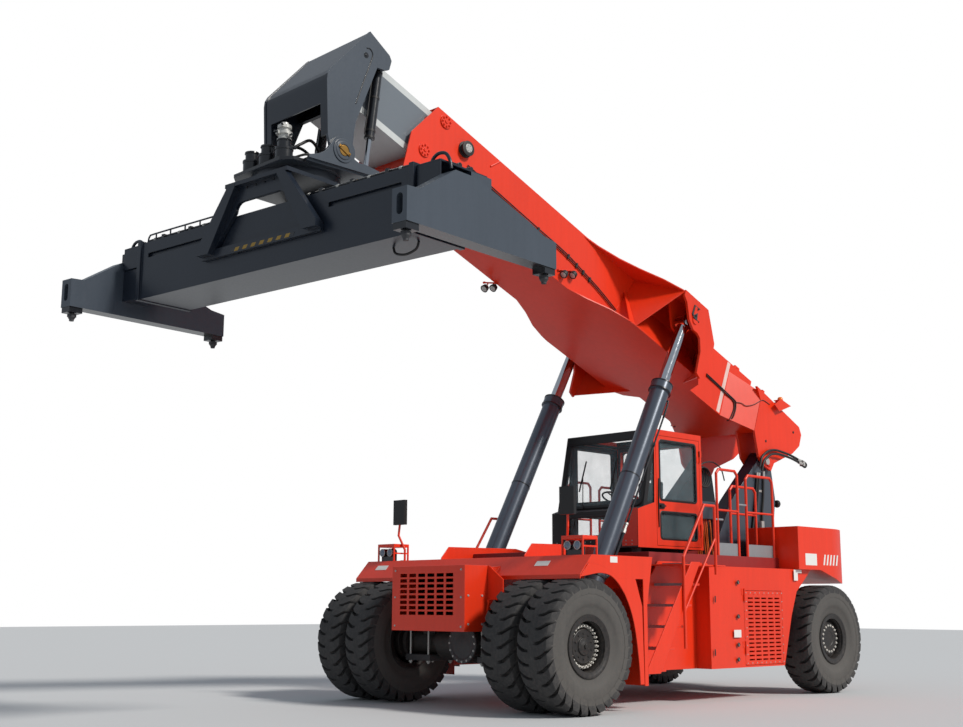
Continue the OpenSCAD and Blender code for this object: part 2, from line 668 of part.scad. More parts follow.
module boom_outer() color(red) place() in_boom() {
    difference() {
        side_plate(-boom_half_w, 2 * boom_half_w,
            [[500, boom_low], [500, boom_high], [boom_front - 260, boom_high], [boom_front, boom_high - 600],
            [boom_front - 60, boom_low - 150], [boom_front - 560, boom_low - 60],
            [boom_front - 760, boom_low]]);
        block([300, -boom_half_w + boom_wall, boom_low + boom_wall],
            [boom_front + 100, boom_half_w - boom_wall, boom_high - boom_wall]);
        // Mouth under the inner boom, cut back from the side plates
        block([boom_front - 130, -boom_half_w + boom_wall, boom_low - 200],
            [boom_front + 100, boom_half_w - boom_wall, boom_low + 100]);
    }
    both_sides() {
        root_cheeks();
        boom_lug();
        // Covers of the front slide pads
        for (c = [[boom_front - 450, 1150], [boom_front - 280, 560]]) cross_bar(c[0], c[1], 95,
            boom_half_w - 5, boom_half_w + 18, round_fn);
    }
    // Front slide pads around the inner boom
    block([boom_front - 420, -300, boom_low + 5], [boom_front - 420 + pad_l, 300, inner_low - seat]);
    block([boom_front - 560, -300, inner_high + seat], [boom_front - 560 + pad_l, 300, boom_high - 5]);
    both_sides() block([boom_front - 420, inner_half_w + seat, 550],
        [boom_front - 420 + pad_l, boom_half_w - 5, 1050]);
    // Lifting eyes on the top plate
    both_sides() difference() {
        side_plate(eye_y, eye_t, [[eye_u - 110, boom_high - 5], [eye_u + 110, boom_high - 5],
            [eye_u + 60, boom_high + 110], [eye_u - 60, boom_high + 110]]);
        cross_bar(eye_u, boom_high + 50, eye_r, eye_y - 10, eye_y + eye_t + 10, round_fn);
    }
    // Root box that joins the cheeks in front of the pivot
    block([460, -cheek_out, boom_low], [520, cheek_out, boom_high - 200]);
    block([-560, -cheek_out, 860], [500, cheek_out, 900]);
}

eye_y = 385;
eye_t = 30;
eye_u = 830;
eye_r = 32;

// Two plates on each side of a tower head, with the pivot pin
module root_cheeks() {
    outline = [[680, 1040], [500, 850], [520, boom_low], [280, -40], [110, -110], [-110, -110], [-150, 50],
        [-600, 450], [-750, 660], [-750, 870], [-650, 970]];
    difference() {
        union() {
            side_plate(cheek_out - cheek_t, cheek_t, outline);
            side_plate(cheek_in, cheek_t, outline);
        }
    }
    cross_bar(0, 0, pivot_pin_r, cheek_in + 5, cheek_out + 25, round_fn);
    // Sloped plates from the boom's side out to the cheeks
    sheet([[1120, boom_half_w - 4, boom_low], [1120, boom_half_w - 4, boom_high - 150],
        [510, cheek_out - 4, 1000], [510, cheek_out - 4, boom_low]], [0, -14, 0]);
    linear_plate(boom_low, 14, [[1120, boom_half_w - 10], [520, cheek_out - 10], [500, cheek_out - 10],
        [500, boom_half_w - 40]]);
}

lug_out = 1255;
lug_t = 40;
flare_y = 860;
flare_t = 16;

// Plate with an outline in the X-Y plane, from z to z + t
module linear_plate(z, t, outline) {
    translate([0, 0, z]) linear_extrude(t) polygon(outline);
}

// Wing on the boom's side that carries the upper pin of a lift cylinder
module boom_lug() {
    u = lift_pin_u;
    y = boom_half_w - 5;
    y1 = lug_out - 10;
    top = boom_high - 10;
    slope = atan((top - 1110) / (y1 - y));
    difference() {
        side_plate(lug_out - lug_t, lug_t, [[u + 345, 1120], [u - 245, 1120], [u - 545, 700], [u - 555, 600],
            [u - 395, 20], [u - 295, 60], [u - 275, 420], [u - 195, 600], [u - 115, 640], [u - 15, 640],
            [u + 125, 740], [u + 255, 960], [u + 345, 1030]]);
    }
    // Ends of the pin with the keeper plate, and the inner lug
    cross_bar(lift_pin_u, lift_pin_v, lift_pin_r, lug_out - lug_t - 30, lug_out + 15, round_fn);
    cross_bar(lift_pin_u, lift_pin_v, lift_pin_r, 880, 945, round_fn);
    side_plate(lug_out - 5, 25, [[lift_pin_u - 75, lift_pin_v + 20], [lift_pin_u - 75, lift_pin_v + 200],
        [lift_pin_u + 75, lift_pin_v + 200], [lift_pin_u + 75, lift_pin_v + 20]]);
    side_plate(890, 35, concat([[u + 325, 1160], [u - 275, 1160]],
        arc([lift_pin_u, lift_pin_v], 130, 200, 340, 7)));
    // Top plate that swings out from the boom's top
    wide = (y1 - y) / cos(slope);
    translate([0, y, top]) rotate([-slope, 0, 0]) linear_plate(-flare_t, flare_t,
        [[u + 1965, 0], [u + 1625, 60], [u + 1275, 190], [u + 975, 370], [u + 675, 600], [u + 345, wide],
        [u - 245, wide], [u - 475, 520], [u - 775, 0]]);
    // Bottom plate that swings out the same way
    linear_plate(boom_low, flare_t, [[u + 1965, y], [u + 1625, y + 110], [u + 1275, y + 270],
        [u + 975, flare_y - 20], [u + 825, flare_y], [u - 825, flare_y], [u - 995, 740], [u - 1125, y]]);
    // Inner side from the bottom plate's edge up to the boom's side
    sheet([[u + 925, flare_y - 6, boom_low + 4], [u - 825, flare_y - 6, boom_low + 4], [u - 725, y, 960],
        [u + 825, y, 960]], [0, -12, 0]);
    // Front rib and the rear closing plates
    sheet(in_one_plane([[u + 345, y1, 1105], [u + 685, y, top - 4], [u + 975, y, boom_low + 4],
        [u + 925, flare_y, boom_low + 4]]), [-16, 0, 0]);
    sheet(in_one_plane([[u - 545, y1, 680], [u - 385, y1, 40], [u - 925, y, boom_low + 10],
        [u - 1075, y, 900]]), [16, 0, 0]);
    sheet(in_one_plane([[u - 245, y1, 1100], [u - 550, y1, 670], [u - 1075, y, 900], [u - 775, y, top]]),
        [16, 0, 0]);
}

inner_low = 430;
inner_high = 1190;
inner_rear = 700;
pad_l = 250;

module boom_inner() color(light_grey) place() in_boom() {
    difference() {
        block([inner_rear, -inner_half_w, inner_low], [head_u - 20, inner_half_w, inner_high]);
        block([inner_rear - 10, -inner_half_w + boom_wall, inner_low + boom_wall],
            [head_u - 200, inner_half_w - boom_wall, inner_high - boom_wall]);
    }
    // Rear slide pads, which reach the outer boom's walls
    block([inner_rear, -300, boom_low + boom_wall + seat], [inner_rear + pad_l, 300, inner_low + 1]);
    block([inner_rear, -300, inner_high - 1], [inner_rear + pad_l, 300, boom_high - boom_wall - seat]);
    both_sides() block([inner_rear, inner_half_w - 1, 600],
        [inner_rear + pad_l, boom_half_w - boom_wall - seat, 1000]);
}

head_y = 650;
head_t = 40;
head_pin_r = 55;

module boom_head() color(steel_grey) place() in_boom() translate([head_u, 0, 0]) {
    both_sides() difference() {
        side_plate(head_y - head_t, head_t, concat([[230, 1325], [-150, 1238], [-205, 1190], [-218, 1060],
            [-160, 1005], [-48, 960], [-42, 120], [-75, -60], [-150, -300]],
            arc([0, head_v], 165, 183, 350, 9), [[255, -300], [535, 320], [556, 400], [546, 478]]));
        cross_bar(0, head_v, head_pin_r + run, head_y - 100, head_y + 50, round_fn);
    }
    // Pins that the dampers hang from
    both_sides() cross_bar(damper_top_u - head_u, damper_top_v, damper_pin_r, damper_y + damper_eye + seat,
        head_y - head_t + 1);
    // Folded front cover with its returns down both sides
    color(navy) {
        y = head_y - head_t + 5;
        side_plate(-y, 2 * y, [[-190, 1226], [230, 1312], [538, 478], [548, 400], [528, 325], [420, 85],
            [402, 93], [508, 330], [527, 400], [519, 472], [218, 1290], [-186, 1206]]);
        both_sides() side_plate(y - 110, 110, [[420, 85], [248, -295], [230, -287], [402, 93]]);
        block([-20, -y, inner_low], [20, y, inner_high]);
    }
}

// Spreader

yoke_y = head_y + gap;
yoke_t = 40;
slew_top = 6440;

module yoke() color(steel_grey) place() {
    // Plates outside the head's plates, with the pins
    both_sides() {
        side_plate(yoke_y, yoke_t, concat([[slew_x + 330, slew_top - 20], [slew_x + 330, slew_top + 15],
            [slew_x + 190, slew_top + 60], [head_x + 260, head_z - 60]],
            arc([head_x, head_z], 185, 20, 200, 10),
            [[head_x - 240, head_z - 90], [head_x - 330, slew_top + 95], [damper_low_x - 60, slew_top + 60],
            [damper_low_x - 90, slew_top + 20], [damper_low_x - 60, slew_top - 20]]));
        cross_bar(head_x, head_z, head_pin_r, damper_y + 45, yoke_y + yoke_t + 14, round_fn);
        cross_bar(head_x, head_z, 110, yoke_y + yoke_t - 5, yoke_y + yoke_t + 10, round_fn);
        // Feet of the dampers
        for (dy = [-58, 46]) side_plate(damper_y + dy, 12,
            [[damper_low_x - 70, slew_top - 20], [damper_low_x - 50, damper_low_z + 30],
            [damper_low_x + 50, damper_low_z + 30], [damper_low_x + 70, slew_top - 20]]);
    }
    translate([slew_x, 0, slew_top - 60]) cylinder(r = 560, h = 60, $fn = round_fn);
    block([damper_low_x - 60, -yoke_y - 5, slew_top - 50], [slew_x + 330, yoke_y + 5, slew_top - 10]);
    // Slewing motors on the nose plate
    color(black) {
        for (y = [-330, 0, 330]) translate([slew_x + 430, y, slew_top - 60]) {
            cylinder(r = 105, h = 210, $fn = 32);
            cylinder(r = 130, h = 60, $fn = 32);
            cylinder(r = 80, h = 300, $fn = 32);
        }
        linear_plate(slew_top - 60, 40, [[slew_x + 250, -600], [slew_x + 480, -600], [slew_x + 590, -470],
            [slew_x + 590, 470], [slew_x + 480, 600], [slew_x + 250, 600]]);
    }
}

carriage_low = 5420;
beam_front = 500;
beam_back = -300;
beam_top_z = 5900;
beam_low_z = 5150;
slide_gap = 8;
leg_t = 50;
leg_deep = 85;

module carriage() color(navy) place() in_slew() {
    ring_top = slew_top - 60 - seat;
    translate([0, 0, ring_top - 110]) difference() {
        cylinder(r = 540, h = 110, $fn = round_fn);
        translate([0, 0, -5]) cylinder(r = 380, h = 120, $fn = round_fn);
    }
    block([-560, -560, slew_top - 220], [640, 560, slew_top - 170]);
    // A-frames before and behind the main beam, with deep channel legs
    for (m = [0, 1]) translate([(beam_front + beam_back) / 2, 0, 0]) mirror([m, 0, 0])
        translate([(beam_front - beam_back) / 2 + slide_gap, 0, 0]) {
        difference() {
            front_plate(0, leg_t, [[-1060, carriage_low], [1060, carriage_low], [1060, carriage_low + 90],
                [470, slew_top - 200], [-470, slew_top - 200], [-1060, carriage_low + 90]]);
            front_plate(-5, leg_t + 10, concat([[-800, carriage_low + 110], [800, carriage_low + 110]],
                arc([330, slew_top - 520], 120, 0, 90, 4), arc([-330, slew_top - 520], 120, 90, 180, 4)));
        }
        both_sides() front_plate(leg_t - 1, leg_deep, [[1060, carriage_low + 40], [840, carriage_low + 40],
            [380, slew_top - 230], [380, slew_top - 175], [490, slew_top - 175], [1060, carriage_low + 130]]);
    }
    // Slide pads on both sides of the main beam
    for (y = [-950, 750]) {
        block([beam_back - slide_gap - 1, y, carriage_low + 10],
            [beam_back - seat, y + 200, carriage_low + 85]);
        block([beam_front + seat, y, carriage_low + 10],
            [beam_front + slide_gap + 1, y + 200, carriage_low + 85]);
    }
}

beam_wall = 20;

module spreader_beam() color(navy) place() in_slew() {
    w = beam_wall;
    difference() {
        union() {
            block([beam_back, -beam_half_l, beam_low_z], [beam_front, beam_half_l, beam_top_z]);
            // Collars at both ends
            for (s = [-1, 1]) scale([1, s, 1]) block([beam_back - 28, beam_half_l - 70, beam_low_z - 12],
                [beam_front + 28, beam_half_l, beam_top_z + 28]);
        }
        block([beam_back + w, -beam_half_l - 10, beam_low_z + w],
            [beam_front - w, beam_half_l + 10, beam_top_z - w]);
        // Long slots for the slide blocks under the top plate
        for (x = [beam_back, beam_front], y = [[-2250, -1120], [1120, 2250]]) block([x - w - 5, y[0], 5690],
            [x + w + 5, y[1], 5745]);
    }
}

tele_wall = 16;
tele_gap = 40;
lock_r = 30;

module end_beam(side) color(navy) place() in_slew() {
    yo = spreader_l / 2;
    mid = (beam_back + beam_front) / 2;
    x0 = side > 0 ? beam_back + tele_gap : mid + tele_gap / 2;
    x1 = side > 0 ? mid - tele_gap / 2 : beam_front - tele_gap;
    z0 = beam_low_z + tele_gap;
    z1 = beam_top_z - tele_gap - 20;
    on_side(side) {
        // Telescopic box, beside the other one inside the main beam
        difference() {
            block([x0, -beam_half_l + 150, z0], [x1, yo - 150, z1]);
            block([x0 + tele_wall, -beam_half_l + 140, z0 + tele_wall],
                [x1 - tele_wall, yo - 160, z1 - tele_wall]);
        }
        // Slide pads on the box, under and over it
        for (y = [-beam_half_l + 200, beam_half_l - 250]) {
            block([x0 + 60, y, beam_low_z + beam_wall + seat], [x1 - 60, y + 200, z0 + 1]);
            if (y < 0) block([x0 + 60, y, z1 - 1], [x1 - 60, y + 200, beam_top_z - beam_wall - seat]);
        }
        // Cross beam over the container's end
        difference() {
            union() {
                translate([0, yo, 0]) rotate([90, 0, 0]) linear_extrude(205)
                    polygon([[end_half_x, spreader_low], [end_half_x, 5360], [1040, 5370], [500, 5710],
                    [160, 5710], [-740, 5440], [-1000, 5340], [-end_half_x, 5310],
                    [-end_half_x, spreader_low]]);
                // Housings of the twistlocks under the corners
                for (x = [-lock_dx / 2, lock_dx / 2])
                    block([x - 95, yo - 190, spreader_low - lock_house], [x + 95, yo - 15, spreader_low + 5]);
            }
            for (x = [-lock_dx / 2, lock_dx / 2]) translate([x, lock_dy / 2, spreader_low - lock_house - 10])
                cylinder(r = lock_r + run, h = 400 + lock_house, $fn = round_fn);
            // Oval hand holes in both ends
            for (s = [-1, 1]) scale([s, 1, 1]) hand_hole();
        }
    }
}

lock_house = 70;
hole_r = 42;

// Upright oval recess in the end face of a cross beam
module hand_hole() {
    translate([end_half_x - 90, spreader_l / 2 - 100, 0]) {
        for (z = [5120, 5260]) translate([0, 0, z]) rotate([0, 90, 0]) cylinder(r = hole_r, h = 100,
            $fn = round_fn);
        block([0, -hole_r, 5120], [100, hole_r, 5260]);
    }
}

module lock(side, end) color(steel_grey) place() in_slew() on_side(side)
    translate([end * lock_dx / 2, lock_dy / 2, spreader_low - 170]) {
        cylinder(r1 = 20, r2 = 50, h = 50);
        translate([0, 0, 50]) cylinder(r = 50, h = 40);
        cylinder(r = lock_r, h = 400, $fn = round_fn);
        translate([-50, -28, 50]) cube([100, 56, 40]);
    }

// Lift cylinders

module lift_barrel(side) color(graphite) place() on_side(side) in_lift() {
    difference() {
        union() {
            translate([0, 0, 190]) cylinder(r = lift_barrel_r, h = lift_barrel_l - 340, $fn = round_fn);
            block([-110, -foot_half_w, 0], [110, foot_half_w, 195]);
            translate([0, 0, lift_barrel_l - 150]) cylinder(r = lift_barrel_r + 18, h = 150, $fn = round_fn);
            cross_bar(0, 0, 150, -foot_half_w, foot_half_w, round_fn);
        }
        translate([0, 0, 300]) cylinder(r = lift_rod_r + run, h = lift_barrel_l, $fn = round_fn);
    }
    cross_bar(0, 0, 60, -foot_half_w - gap - foot_ear_t, foot_half_w + gap + foot_ear_t, round_fn);
}

lift_eye_r = 120;
rod_l = 3300;

module lift_rod(side) color(chrome) place() on_side(side) in_lift() {
    translate([0, 0, lift_length - rod_l]) cylinder(r = lift_rod_r, h = rod_l, $fn = round_fn);
    translate([0, 0, lift_length]) cross_bar(0, 0, lift_eye_r, -80, 80, round_fn);
    translate([0, 0, lift_length]) cross_bar(0, 0, lift_pin_r, -95, 95, round_fn);
}

// Spreader dampers

damper_y = 500;
damper_top_u = head_u - 140;
damper_top_v = 1100;
damper_low_x = head_x - 500;
damper_low_z = slew_top + 90;
damper_top_x = pivot_x + damper_top_u * cos(boom_angle) - damper_top_v * sin(boom_angle);
damper_top_z = pivot_z + damper_top_u * sin(boom_angle) + damper_top_v * cos(boom_angle);
damper_lean = atan((damper_top_x - damper_low_x) / (damper_top_z - damper_low_z));
damper_length = norm([damper_top_x - damper_low_x, damper_top_z - damper_low_z]);
damper_pin_r = 35;
damper_eye = 45;

module in_damper() {
    translate([damper_low_x, damper_y, damper_low_z]) rotate([0, damper_lean, 0]) children();
}

module damper_barrel(side) color(graphite) place() on_side(side) in_damper() {
    difference() {
        translate([0, 0, damper_length - 1000]) cylinder(r = 62, h = 1000 - damper_pin_r - 10, $fn = round_fn);
        translate([0, 0, damper_length - 1010]) cylinder(r = 32 + run, h = 850, $fn = round_fn);
    }
    translate([0, 0, damper_length]) cross_bar(0, 0, 60, -damper_eye, damper_eye, round_fn);
}

module damper_rod(side) color(chrome) place() on_side(side) in_damper() {
    cylinder(r = 32, h = damper_length - 500, $fn = round_fn);
    cross_bar(0, 0, 50, -40, 40, round_fn);
}

frame();
fenders();
guards();
grille_box();
drive_axle();
steer_axle();
engine();
counterweight();
tower();
side_housings();
deck();
rails();
stairs();
cab_shell();
cab_glass();
cab_interior();
lamps();
mirrors();
tyres_front(1);  // tyres_front_left
rims_front(1);  // rims_front_left
tyres_front(-1);  // tyres_front_right
rims_front(-1);  // rims_front_right
tyre_rear(1);  // tyre_rear_left
rim_rear(1);  // rim_rear_left
tyre_rear(-1);  // tyre_rear_right
rim_rear(-1);  // rim_rear_right
knuckle(1);  // knuckle_left
knuckle(-1);  // knuckle_right
boom_outer();
boom_inner();
boom_head();
yoke();
carriage();
spreader_beam();
end_beam(1);  // end_beam_left
end_beam(-1);  // end_beam_right
lock(1, 1);  // lock_left_front
lock(1, -1);  // lock_left_rear
lock(-1, 1);  // lock_right_front
lock(-1, -1);  // lock_right_rear
lift_barrel(1);  // lift_barrel_left
lift_barrel(-1);  // lift_barrel_right
lift_rod(1);  // lift_rod_left
lift_rod(-1);  // lift_rod_right
damper_barrel(1);  // damper_barrel_left
damper_barrel(-1);  // damper_barrel_right
damper_rod(1);  // damper_rod_left
damper_rod(-1);  // damper_rod_right
cab_door(1);  // cab_door_left
cab_door(-1);  // cab_door_right
service_door(1);  // service_door_left
service_door(-1);  // service_door_right
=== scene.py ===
import math

import bmesh
import bpy
from mathutils import Matrix, Vector


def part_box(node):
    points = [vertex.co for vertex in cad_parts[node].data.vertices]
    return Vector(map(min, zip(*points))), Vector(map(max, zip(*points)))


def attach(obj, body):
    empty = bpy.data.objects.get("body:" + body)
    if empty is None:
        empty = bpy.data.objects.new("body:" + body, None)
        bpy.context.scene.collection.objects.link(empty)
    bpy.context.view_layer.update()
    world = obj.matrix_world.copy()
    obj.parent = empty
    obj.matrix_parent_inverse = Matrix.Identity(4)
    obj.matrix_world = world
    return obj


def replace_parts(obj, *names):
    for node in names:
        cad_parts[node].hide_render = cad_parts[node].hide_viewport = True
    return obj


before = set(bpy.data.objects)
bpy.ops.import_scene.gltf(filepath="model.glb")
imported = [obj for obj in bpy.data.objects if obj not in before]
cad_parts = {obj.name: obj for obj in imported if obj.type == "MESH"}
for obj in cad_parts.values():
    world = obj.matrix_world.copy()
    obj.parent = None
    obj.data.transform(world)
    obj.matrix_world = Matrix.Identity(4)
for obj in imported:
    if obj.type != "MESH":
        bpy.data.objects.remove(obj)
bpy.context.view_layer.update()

# Camera
# It stands low, about 1.3 m above the ground, out beyond the front left
# wheels, and looks back and up along the boom.
front_tyre_low, front_tyre_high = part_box("tyres_front_left")
FRONT_AXLE = (front_tyre_low.x + front_tyre_high.x) / 2
PHOTO_W = 963
PHOTO_FOCAL = 1290
CAMERA_AHEAD = 11.883
CAMERA_LEFT = 12.344
CAMERA_HEIGHT = 1.275
CAMERA_YAW = math.radians(45.47)
CAMERA_PITCH = math.radians(10.64)
CAMERA_ROLL = math.radians(0.21)

camera_data = bpy.data.cameras.new("camera")
camera_data.sensor_width = 36
camera_data.lens = PHOTO_FOCAL / PHOTO_W * camera_data.sensor_width
camera_data.clip_end = 200
camera = bpy.data.objects.new("camera", camera_data)
bpy.context.collection.objects.link(camera)
looking = Vector((-math.cos(CAMERA_YAW) * math.cos(CAMERA_PITCH),
                  -math.sin(CAMERA_YAW) * math.cos(CAMERA_PITCH), math.sin(CAMERA_PITCH)))
camera.matrix_world = (Matrix.Translation((FRONT_AXLE + CAMERA_AHEAD, CAMERA_LEFT, CAMERA_HEIGHT))
                       @ looking.to_track_quat("-Z", "Y").to_matrix().to_4x4()
                       @ Matrix.Rotation(CAMERA_ROLL, 4, "Z"))
bpy.context.scene.camera = camera


# Floor and light
# A pale floor fades into a white studio, one soft sun stands on the machine's
# left and a little behind, and the room itself gives the rest.
FLOOR_HALF = 60
FLOOR_GREY = (0.55, 0.56, 0.57, 1)
ROOM_COLOUR = (0.82, 0.90, 1.0, 1)
ROOM_LIGHT = 0.42
SUN_LIGHT = 3.1
SUN_FROM = Vector((-0.30, 1.0, 0.85))


def feed(tree, node, inputs):
    """Sets a node's inputs, each from a plain value or from another node's socket."""
    for name, value in inputs.items():
        if isinstance(value, bpy.types.NodeSocket):
            tree.links.new(value, node.inputs[name])
        else:
            node.inputs[name].default_value = value


def add_node(tree, kind, inputs):
    node = tree.nodes.new("ShaderNode" + kind)
    feed(tree, node, inputs)
    return node


scene = bpy.context.scene
scene.view_settings.view_transform = "Standard"

bpy.ops.mesh.primitive_plane_add(size=2 * FLOOR_HALF, location=(0, 0, 0))
floor = bpy.context.object
floor.name = "studio_floor"
floor_material = bpy.data.materials.new("studio_floor")
floor_material.use_nodes = True
tree = floor_material.node_tree
feed(tree, tree.nodes["Principled BSDF"], {"Base Color": FLOOR_GREY, "Roughness": 0.9})
floor.data.materials.append(floor_material)

world = bpy.data.worlds.new("studio")
scene.world = world
world.use_nodes = True
tree = world.node_tree
tree.nodes.clear()
room = add_node(tree, "Background", {"Color": ROOM_COLOUR, "Strength": ROOM_LIGHT})
white = add_node(tree, "Background", {"Color": (1, 1, 1, 1)})
rays = add_node(tree, "LightPath", {})
seen_direct = add_node(tree, "Math", {0: rays.outputs["Is Camera Ray"], 1: rays.outputs["Is Transmission Ray"]})
seen_direct.operation = "MAXIMUM"
backdrop = add_node(tree, "MixShader", {0: seen_direct.outputs[0], 1: room.outputs[0], 2: white.outputs[0]})
add_node(tree, "OutputWorld", {"Surface": backdrop.outputs[0]})

sun_data = bpy.data.lights.new("sun", "SUN")
sun_data.energy = SUN_LIGHT
sun_data.angle = math.radians(10)
sun_data.color = (1.0, 0.96, 0.9)
sun = bpy.data.objects.new("sun", sun_data)
bpy.context.collection.objects.link(sun)
sun.rotation_mode = "QUATERNION"
sun.rotation_quaternion = (-SUN_FROM).to_track_quat("-Z", "Y")


# Chassis plates
# Thick steel plate, welded, blasted and sprayed orange-red with a glossy top
# coat, which has faded a little and carries dust low down.
RED = (226, 50, 12)
COAT_ROUGHNESS = 0.28
DUST_TOP = 2.6
DUST_FULL = 0.1


def srgb(colour):
    return tuple(((c / 255 + 0.055) / 1.055) ** 2.4 if c > 10 else c / 255 / 12.92 for c in colour) + (1,)


def mix_colours(tree, fac, a, b):
    mixer = tree.nodes.new("ShaderNodeMix")
    mixer.data_type = "RGBA"
    feed(tree, mixer, {0: fac, 6: a, 7: b})
    return mixer.outputs[2]


def reckon(tree, operation, a, b, clamp=False):
    node = add_node(tree, "Math", {0: a, 1: b})
    node.operation = operation
    node.use_clamp = clamp
    return node.outputs[0]


def cloud(tree, place, scale, detail=3, rough=0.5):
    inputs = {"Vector": place, "Scale": scale, "Detail": detail, "Roughness": rough}
    return add_node(tree, "TexNoise", inputs).outputs["Fac"]


def ramp(tree, value, low, high, out_low=0.0, out_high=1.0):
    inputs = {"Value": value, "From Min": low, "From Max": high, "To Min": out_low, "To Max": out_high}
    return add_node(tree, "MapRange", inputs).outputs[0]


def weather_group():
    """Paint that fades in broad clouds and rain streaks, with dust that gathers low down."""
    group = bpy.data.node_groups.new("weathered surface", "ShaderNodeTree")
    for name, kind, value in (("Paint", "Color", (1, 1, 1, 1)), ("Dust Colour", "Color", (0.3, 0.26, 0.22, 1)),
                              ("Dust", "Float", 0.3), ("Fade", "Float", 0.12), ("Gloss", "Float", 0.3)):
        group.interface.new_socket(name, in_out="INPUT", socket_type="NodeSocket" + kind).default_value = value
    for name, kind in (("Colour", "Color"), ("Roughness", "Float"), ("Height", "Float")):
        group.interface.new_socket(name, in_out="OUTPUT", socket_type="NodeSocket" + kind)
    given = group.nodes.new("NodeGroupInput").outputs
    made = group.nodes.new("NodeGroupOutput")
    place = add_node(group, "TexCoord", {}).outputs["Object"]
    height = add_node(group, "SeparateXYZ", {0: place}).outputs["Z"]
    tall = add_node(group, "Mapping", {"Vector": place, "Scale": (4.0, 4.0, 0.35)}).outputs[0]

    def plus(a, b, clamp=False):
        return reckon(group, "ADD", a, b, clamp)

    def times(a, b, clamp=False):
        return reckon(group, "MULTIPLY", a, b, clamp)

    streaks = cloud(group, tall, 3.0, 4, 0.6)
    specks = cloud(group, place, 26.0, 4, 0.65)
    fade = times(plus(plus(times(cloud(group, place, 0.7), 0.7), times(streaks, 0.5)), -0.6), given["Fade"])
    faded = add_node(group, "HueSaturation", {"Color": given["Paint"], "Value": plus(times(fade, 4.0), 1.0)})
    low_down = plus(times(ramp(group, height, DUST_TOP, DUST_FULL), 0.8), 0.2)
    patches = plus(times(ramp(group, specks, 0.42, 0.78), 0.65), times(streaks, 0.4))
    dirt = times(times(low_down, patches), given["Dust"], True)
    shine = plus(plus(given["Gloss"], times(dirt, 0.45)), times(plus(specks, -0.5), 0.12), True)
    feed(group, made, {"Colour": mix_colours(group, dirt, faded.outputs["Color"], given["Dust Colour"]),
                       "Roughness": shine,
                       "Height": plus(times(cloud(group, place, 90.0, 2), 0.15), cloud(group, place, 2.2, 2))})
    return group


weathered = weather_group()


def finish_coat(name, colour, dust=0.3, gloss=0.32, fade=0.1, metallic=0.0, coat=0.0, bump=0.04,
                dust_colour=(92, 80, 70)):
    material = bpy.data.materials.new(name)
    material.use_nodes = True
    tree = material.node_tree
    surface = tree.nodes.new("ShaderNodeGroup")
    surface.node_tree = weathered
    feed(tree, surface, {"Paint": srgb(colour), "Dust Colour": srgb(dust_colour), "Dust": dust, "Fade": fade,
                         "Gloss": gloss})
    relief = add_node(tree, "Bump", {"Strength": 0.25, "Distance": bump, "Height": surface.outputs["Height"]})
    feed(tree, tree.nodes["Principled BSDF"], {
        "Base Color": surface.outputs["Colour"], "Roughness": surface.outputs["Roughness"], "Metallic": metallic,
        "Coat Weight": coat, "Coat Roughness": COAT_ROUGHNESS, "Normal": relief.outputs[0]})
    return material


red_paint = finish_coat("orange red paint", RED, dust=0.14, gloss=0.36, coat=0.08, bump=0.006)
black_steel = finish_coat("black axle paint", (24, 24, 26), dust=0.55, gloss=0.5, bump=0.01)
graphite_steel = finish_coat("graphite castings", (50, 52, 56), dust=0.5, gloss=0.5, bump=0.01)


def round_edges(obj, width, angle):
    """A small radius on the edges that turn by more than an angle."""
    radius = obj.modifiers.new("edges", "BEVEL")
    radius.width = width
    radius.segments = 2
    radius.limit_method = "ANGLE"
    radius.angle_limit = math.radians(angle)
    flat_sides = obj.modifiers.new("flat sides", "WEIGHTED_NORMAL")
    flat_sides.weight = 100
    return radius, flat_sides


def dress(node, material, edge=0.004):
    """Gives a CAD node its finish and a small radius on its edges."""
    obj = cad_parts[node]
    obj.data.materials.clear()
    obj.data.materials.append(material)
    obj.data.polygons.foreach_set("material_index", [0] * len(obj.data.polygons))
    obj.data.polygons.foreach_set("use_smooth", [True] * len(obj.data.polygons))
    weld = obj.modifiers.new("weld", "WELD")
    weld.merge_threshold = 0.00005
    flats = obj.modifiers.new("flats", "DECIMATE")
    flats.decimate_type = "DISSOLVE"
    flats.angle_limit = math.radians(0.3)
    if edge:
        radius, flat_sides = round_edges(obj, edge, 20)
        radius.use_clamp_overlap = True
        flat_sides.thresh = 0.0001
    return obj


for node in ("frame", "fenders", "guards", "grille_box", "side_housings", "stairs"):
    dress(node, red_paint, 0.006)
for node in ("drive_axle", "steer_axle", "knuckle_left", "knuckle_right"):
    dress(node, black_steel)
dress("engine", graphite_steel)


# Grille box and its bolts
# A welded sheet box stands ahead of the frame with eight rows of stamped slots
# and is held by hexagon screws along its sides and face.
AHEAD = Vector((1, 0, 0))
LEFT = Vector((0, 1, 0))
UP = Vector((0, 0, 1))


def side_frame(direction):
    """Two directions square to the one given."""
    d = Vector(direction).normalized()
    u = d.cross(UP if abs(d.z) < 0.9 else AHEAD).normalized()
    return u, d.cross(u)


def circle(centre, u, v, r, count, start=0.0):
    """Points in turn on a circle in the plane of two directions."""
    return [centre + (u * math.cos(t) + v * math.sin(t)) * r
            for t in (start + 2 * math.pi * i / count for i in range(count))]


def skin(bm, rings, closed=False):
    """Sheet over rings of points, with a lid at each end unless it closes on itself."""
    rings = [[bm.verts.new(p) for p in ring] for ring in rings]
    for low, high in list(zip(rings, rings[1:])) + ([(rings[-1], rings[0])] if closed else []):
        for i in range(len(low)):
            bm.faces.new((low[i - 1], low[i], high[i], high[i - 1]))
    if not closed:
        bm.faces.new(rings[0][::-1])
        bm.faces.new(rings[-1])


